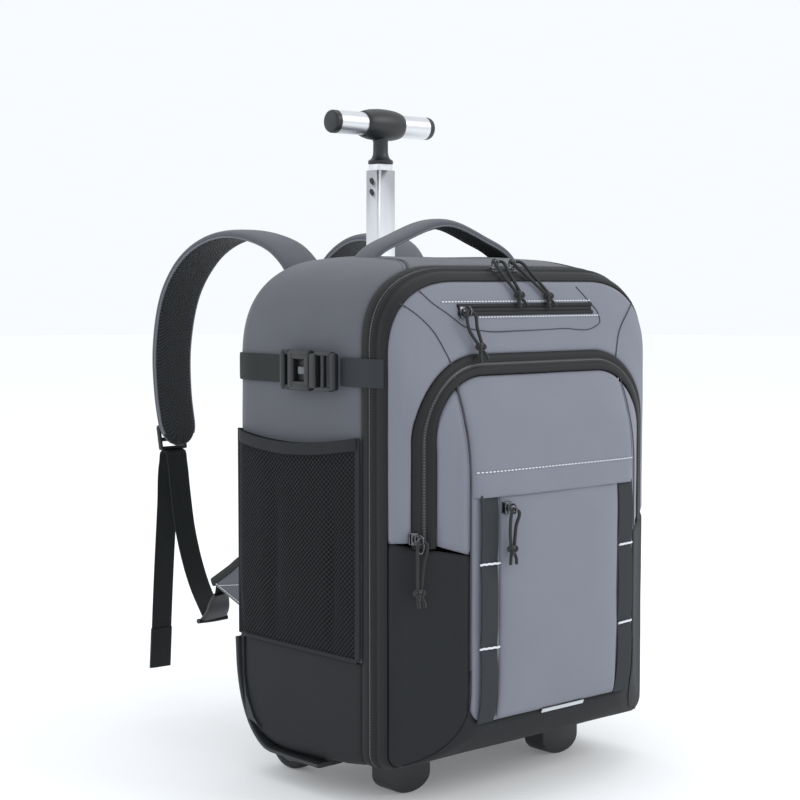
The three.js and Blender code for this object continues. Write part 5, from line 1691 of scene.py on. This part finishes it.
@dataclass
class ShoulderStraps:
    """The padded shoulder straps, their ladder adjusters, webbing, tabs and lower buckles."""

    x: float = 72.0
    width: float = 50.0
    thick: float = 11.0
    steps: int = 130

    def pad_path(self) -> list:
        """Returns the left strap's line."""
        x, back, top = self.x, BACK_Y, SACK.top
        return [(-x, back + 5.8, top - 42), (-x, back + 7.5, top - 20), (-x - 4, back + 29, top + 6),
                (-x - 12, back + 62, top + 20), (-x - 18, back + 102, top + 22),
                (-x - 23, back + 146, top + 6), (-x - 26, back + 182, top - 30),
                (-x - 28, back + 200, top - 90), (-x - 29, back + 198, top - 140),
                (-x - 30, back + 184, top - 196)]

    def webbing_path(self) -> list:
        """Returns the left webbing's line, from its free tail round the adjuster to the lower buckle."""
        x, back, top = self.x, BACK_Y, SACK.top
        return [(-x - 38, back + 213, top - 436), (-x - 36, back + 208, top - 340),
                (-x - 34, back + 203, top - 260), (-x - 33, back + 200, top - 214),
                (-x - 33, back + 196, top - 202.1), (-x - 32, back + 190, top - 202.1),
                (-x - 32, back + 186, top - 214), (-x - 33, back + 180, top - 240),
                (-x - 35, back + 166, top - 290), (-x - 36, back + 141, top - 340),
                (-x - 38, back + 117, top - 366)]

    def pad(self, side: int, name: str) -> None:
        """Makes one padded strap: grey outside, net inside, bound edges."""
        mirror = np.array([-side, 1, 1])
        path = through(self.pad_path(), self.steps) * mirror
        share = spread(self.steps)
        tip = np.clip((share - 0.93) / 0.07, 0, 1)
        round_end = np.sqrt(np.maximum(0.04, 1 - 0.96 * tip**2.4))
        wide = (self.width - 6 * np.abs(2 * share - 1)) * round_end / self.width
        flat = np.where(share > 0.96, 1 - 0.5 * ((share - 0.96) / 0.04) ** 2, 1.0)
        profile = oval(self.width, self.thick, 2.5, 44)
        bm = tube_mesh(sweep(path, (1, 0, 0), profile, np.stack([wide, flat], axis=1)))
        _, across, up = frames(path, (1, 0, 0))
        heart = np.array([path[0][0], 200.0, 380.0])
        middle = self.steps // 2
        inner = 1 if np.dot(up[middle], heart - path[middle]) > 0 else -1
        up = up * inner
        for face, nearest, way in nearest_on(bm, path):
            out = float(np.dot(way, up[nearest]))
            aside = abs(float(np.dot(way, across[nearest])))
            face.material_index = 1 if out > 1.0 * MM and aside < 0.5 * self.width * MM else 0
        piece = f"shoulder_strap_{name}"
        made = add_piece(bm, piece, [GREY, SPACER], stands_for=(piece,))
        for way, edge in ((-1, "outer"), (1, "inner")):
            line = path + across * (way * (self.width / 2 - 1.6) * wide[:, None]) + up * 2.0
            strip(f"strap_binding_{name}_{edge}", line[:-4], (1, 0, 0), 2.6, 2.6, EDGE_GREY, power=2,
                  count=10)

    def adjuster(self, side: int, name: str) -> None:
        """Makes the ladder adjuster behind the strap's lower end."""
        bars = bmesh.new()
        for low, high, bevel in (((-17, -2.6, 6.5), (17, 2.6, 14.5), 2.2),
                                 ((-17, -2.6, -3.0), (17, 2.4, 1.0), 1.4),
                                 ((-17, -2.4, -12), (17, 2.4, -8.4), 1.6),
                                 ((-17, -2.5, -11), (-13.2, 2.5, 13), 1.7),
                                 ((13.2, -2.5, -11), (17, 2.5, 13), 1.7)):
            join(bars, block_mesh(low, high, bevel, 3))
        lean = Matrix.Rotation(-0.2, 3, "X")
        bmesh.ops.rotate(bars, cent=(0, 0, 0), matrix=lean, verts=bars.verts[:])
        carry(bars, place_of((side * (self.x + 32), BACK_Y + 195.8, SACK.top - 189)))
        piece = f"strap_adjuster_{name}"
        add_piece(bars, piece, [PLASTIC], sharp=45, stands_for=(piece,))

    def lower(self, side: int, name: str) -> None:
        """Makes the triangular tab, its folded webbing, its loop and the lower buckle."""
        mirror = np.array([-side, 1, 1])
        corners = [(-130, 112.5, 130), (-130, 200, 162), (-130, 155, 190), (-130, 112.5, 179)]
        share = spread(20)
        low = np.outer(1 - share, corners[0]) + np.outer(share, corners[1])
        high = np.outer(1 - share, corners[3]) + np.outer(share, corners[2])
        rows = spread(12)[:, None, None]
        points = (low[None] * (1 - rows) + high[None] * rows) * mirror
        points[..., 0] += side * 1.3
        heart = np.array([0.0, 160, 160])
        cut = Cut(drop=0.5, width=3.0, edges="rbt", unevenness=0.2, thick=2.4, inside=heart)
        cut.sew(f"strap_tab_{name}", points, GREY, (f"strap_tab_{name}",))
        fold = through([(-130, 113.4, 184), (-130, 150, 191.5), (-130, 170, 180), (-130, 200, 163)], 40)
        fold = fold * mirror
        strip(f"tab_webbing_{name}", fold, (1, 0, 0), 5.0, 9.0, PLAIN_WEBBING, power=2.6, count=16)
        for index, (start, end) in enumerate((((-131.6, 118, 172), (-131.6, 190, 161)),
                                              ((-131.6, 118, 136), (-131.6, 192, 162.5)))):
            line = np.linspace(start, end, 30) * mirror
            ups = np.broadcast_to((side, 0.0, 0.0), line.shape)
            stitches(f"tab_stitches_{name}_{index}", line, ups, THREAD, 2.2, 3.8, 0.7, 0.2, 0.6)
        loop = through([(-127, 190, 166), (-119, 199.6, 163), (-117, 204, 152), (-116, 209, 143)], 30)
        strip(f"tab_loop_{name}", loop * mirror, (1, 0, 0), 15.0, 2.4, PLAIN_WEBBING, power=4, count=16)
        path = through([(-118, 203, 150), (-116, 209, 143), (-112, 218, 130), (-110, 227.4, 120.8)], 30)
        wide = np.stack([np.interp(spread(30), (0, 0.35, 1), (0.55, 0.8, 1.05)), np.ones(31)], axis=1)
        strip(f"strap_buckle_{name}", path * mirror, (1, 0, 0), 30.0, 4.6, PLASTIC, power=4, scales=wide,
              stands_for=(f"strap_buckle_{name}",), count=18)
        bar = through([(-128, 229.5, 118.5), (-110, 229.5, 118.0), (-92, 229.5, 118.5)], 12) * mirror
        strip(f"strap_buckle_bar_{name}", bar, (0, 1, 0), 5.4, 5.0, PLASTIC, power=2.4, count=12)

    def build(self) -> None:
        """Makes both straps with all their parts."""
        for side, name in SIDES:
            mirror = np.array([-side, 1, 1])
            self.pad(side, name)
            self.adjuster(side, name)
            path = through(self.webbing_path(), 150) * mirror
            strip(f"strap_webbing_{name}", path, (1, 0, 0), 25.0, 1.7, PLAIN_WEBBING,
                  stands_for=(f"strap_webbing_{name}",), count=20)
            strip(f"strap_hem_{name}", path[:16], (1, 0, 0), 25.8, 3.6, PLAIN_WEBBING, power=6, count=20)
            self.lower(side, name)


# Wheels, feet and pole


@dataclass
class RollingGear:
    """Wheels, their guards, and the feet."""

    radius: float = 30.0
    width: float = 20.0
    x: float = 126.0
    y: float = 72.0
    rim_x: float = 155.4
    rim_width: float = 32.6
    rim: tuple = ((105.6, 128), (102.6, 92.5), (95.6, 66.7), (82.0, 43.9), (63.4, 30.1), (38, 27.8),
                  (-16, 27.6))
    foot_x: float = 100.0
    foot_half: float = 25.0
    foot_deep: float = 26.0
    foot_front: float = -63.0
    foot_curve: float = 16.6
    foot_top: float = 40.0

    def build(self) -> None:
        """Makes the wheels and feet, and dresses the guards."""
        rise = self.radius * math.cos(math.pi / 16)
        half = self.width / 2
        for side, name in SIDES:
            centre = (0, self.y, rise)
            mid = side * self.x
            tyre = [(22.3, mid - half), (26.0, mid - half), (27.6, mid - half + 0.9),
                    (29.0, mid - half + 3.4), (29.4, mid - 3.0), (29.42, mid), (29.4, mid + 3.0),
                    (29.0, mid + half - 3.4), (27.6, mid + half - 0.9), (26.0, mid + half),
                    (22.3, mid + half), (22.3, mid - half)]
            add_piece(lathe(tyre, "x", centre, 72), f"tyre_{name}", [RUBBER], f"wheel_{name}", 40,
                      (f"tyre_{name}",))
            hub = [(4.4, mid - half), (9.0, mid - half), (11.0, mid - half + 2.0), (17.5, mid - half + 3.6),
                   (20.0, mid - half + 1.2), (22.0, mid - half + 0.9), (22.0, mid + half - 0.9),
                   (20.0, mid + half - 1.2), (17.5, mid + half - 3.6), (11.0, mid + half - 2.0),
                   (9.0, mid + half), (4.4, mid + half), (4.4, mid - half)]
            bm = lathe(hub, "x", centre, 64)
            for index in range(5):
                turn = Matrix.Rotation(index * 2 * math.pi / 5, 4, "X")
                reach = self.width * 0.43
                spoke = block_mesh((-reach, -1.5, 8.0), (reach, 1.5, 20.0), 0.6)
                bmesh.ops.transform(spoke, matrix=turn, verts=spoke.verts[:])
                carry(spoke, place_of((mid, self.y, rise)))
                join(bm, spoke)
            add_piece(bm, f"hub_{name}", [PLASTIC], f"wheel_{name}", 40, (f"hub_{name}",))
            self.guard(side, name)
            self.foot(side, name)

    def guard(self, side: int, name: str) -> None:
        """Gives the moulded wheel guard its finish and its smooth rounded rim."""
        line = [(side * self.rim_x, y, z) for y, z in self.rim]
        # The guard's rim and housing take DULL, lifted lighter as painted highlight.
        strip(f"guard_rim_{name}", through(line, 70), (1, 0, 0), self.rim_width, 4.2, DULL, count=28)
        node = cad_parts[f"wheel_housing_{name}"]
        node.data.materials.clear()
        node.data.materials.append(DULL.build())

    def foot(self, side: int, name: str) -> None:
        """Makes a half-oval foot with rounded edges."""
        turn = spread(28, 0, math.pi)
        bm = bmesh.new()
        mid, half, curve = side * self.foot_x, self.foot_half, self.foot_curve
        outline = [(mid - half * math.cos(a), curve - curve * math.sin(a) ** 0.9) for a in turn]
        outline = [(mid - half, self.foot_top), *outline, (mid + half, self.foot_top)]
        verts = [bm.verts.new(place_of((x, self.foot_front, max(z, 0.0)))) for x, z in outline]
        face = bm.faces.new(verts)
        grown = bmesh.ops.extrude_face_region(bm, geom=[face])
        moved = [item for item in grown["geom"] if isinstance(item, bmesh.types.BMVert)]
        bmesh.ops.translate(bm, verts=moved, vec=(0, self.foot_deep * MM, 0))
        bmesh.ops.recalc_face_normals(bm, faces=bm.faces[:])
        rim = [edge for edge in bm.edges if abs(edge.verts[0].co.y - edge.verts[1].co.y) < 1e-6]
        round_edges(bm, rim, 1.6, 3)
        add_piece(bm, f"foot_{name}", [DULL], sharp=35, stands_for=(f"foot_{name}",))


@dataclass
class Telescope:
    """The telescopic handle: three rectangular tubes, the hub and the grip.

    rim and plate are the heights of the middle and inner tubes' upper ends, and foot and mouth those of
    the outer tube's two ends.
    """

    y: float = 92.0
    outer: tuple = (27.4, 24.4)
    wall: float = 1.2
    gap: float = 0.5
    rim: float = 575.0
    plate: float = 581.0
    length: float = 405.0
    foot: float = 90.0
    mouth: float = 485.0
    buttons: tuple = (565.0, 554.0)
    grip: float = 620.0
    bar_half: float = 58.0
    radius: float = 11.25

    def tube(self, name: str, size: tuple, low: float, high: float, body: str, closed: bool) -> None:
        """Makes one rectangular tube with rounded corners and a wall."""
        bm = bmesh.new()
        lower, upper = metres(np.array([[-size[0] / 2, self.y - size[1] / 2, low],
                                        [size[0] / 2, self.y + size[1] / 2, high]]))
        bmesh.ops.create_cube(bm, size=1.0, matrix=Matrix.Translation(Vector((lower + upper) / 2))
                              @ Matrix.Diagonal((*(upper - lower), 1.0)))
        corners = [edge for edge in bm.edges if abs(edge.verts[0].co.z - edge.verts[1].co.z) > 0.01]
        round_edges(bm, corners, 4.0, 6)
        ends = [face for face in bm.faces if abs(face.normal.z) > 0.9]
        if closed:
            ends = [face for face in ends if face.normal.z < 0]
        bmesh.ops.delete(bm, geom=ends, context="FACES_ONLY")
        made = add_piece(bm, name, [ALUMINIUM], body, sharp=35, stands_for=(name,))
        wall(made, self.wall)

    def build(self) -> None:
        """Makes the tubes, the middle one's two buttons, the hub, the grip and its caps."""
        middle = tuple(value - 2 * (self.wall + self.gap) for value in self.outer)
        inner = tuple(value - 2 * (self.wall + self.gap) for value in middle)
        self.tube("pole_outer", self.outer, self.foot, self.mouth, "bag", False)
        self.tube("pole_middle", middle, self.rim - self.length, self.rim, "middle_stage", False)
        self.tube("pole_inner", inner, self.plate - self.length + 10, self.plate, "handle_stage", True)
        button = [(0.0, 0.0), (2.7, 0.0), (2.7, 0.5), (2.1, 0.5), (2.0, 0.2), (0.0, 0.2)]
        for z in self.buttons:
            bm = lathe(button, "x", (0, 0, 0), 24)
            carry(bm, place_of((-middle[0] / 2 - 0.45, self.y, z)) - place_of((0, 0, 0)))
            add_piece(bm, f"pole_button_{round(z)}", [BLACK_PLASTIC], "middle_stage", 30)
        plate, grip = self.plate, self.grip
        hub = [(0.0, plate + 0.3), (12.0, plate + 0.3), (12.5, plate + 0.9), (12.5, plate + 3.4),
               (11.8, plate + 4.2), (9.6, plate + 5.6), (8.2, plate + 8.2), (7.5, plate + 11.5),
               (7.4, grip - 17), (8.6, grip - 13), (10.4, grip - 9), (10.8, grip - 4), (0.0, grip - 4)]
        bm = lathe(hub, "z", (0, self.y, 0), 48)
        sleeve = [(11.6, -24.0), (12.6, -23.4), (13.6, -20.5), (14.8, -15.0), (15.6, -6.0), (15.7, 0.0),
                  (15.6, 6.0), (14.8, 15.0), (13.6, 20.5), (12.6, 23.4), (11.6, 24.0), (11.6, -24.0)]
        join(bm, lathe(sleeve, "x", (0, self.y, self.grip), 56))
        add_piece(bm, "handle_hub", [PLASTIC], "handle_stage", 40, ("handle_hub",))
        half, radius = self.bar_half, self.radius
        bar = [(0.0, -half), (radius, -half), (radius, half), (0.0, half)]
        add_piece(lathe(bar, "x", (0, self.y, grip), 64), "handle_grip", [GRIP_METAL], "handle_stage", 40,
                  ("handle_grip",))
        for side, name in SIDES:
            cap = [(radius * share - less, side * (half + out)) for share, less, out in (
                (0, 0, 0.2), (1, 0, 0.2), (1, 0, 4.5), (1, 0.7, 6.2), (1, 2.2, 7.0), (0, 0, 7.0))]
            add_piece(lathe(cap, "x", (0, self.y, grip), 48), f"grip_cap_{name}", [PLASTIC],
                      "handle_stage", 40, (f"grip_cap_{name}",))


def main() -> None:
    """Builds the studio and then every part of the backpack."""
    logging.basicConfig(level=logging.INFO, format="%(name)s %(message)s")
    studio = Studio()
    studio.camera()
    studio.floor()
    studio.light()
    for part in (Pulls(), RearShell(), MainZipper(), FrontPanels(), FrontTrim(), TopPocket(), GrabHandle(),
                 BackPad(), NetPocket(), SideStraps(), ShoulderStraps(), RollingGear(), Telescope()):
        LOG.info("building %s", type(part).__name__)
        part.build()
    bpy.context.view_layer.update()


if __name__ == "__main__":
    main()
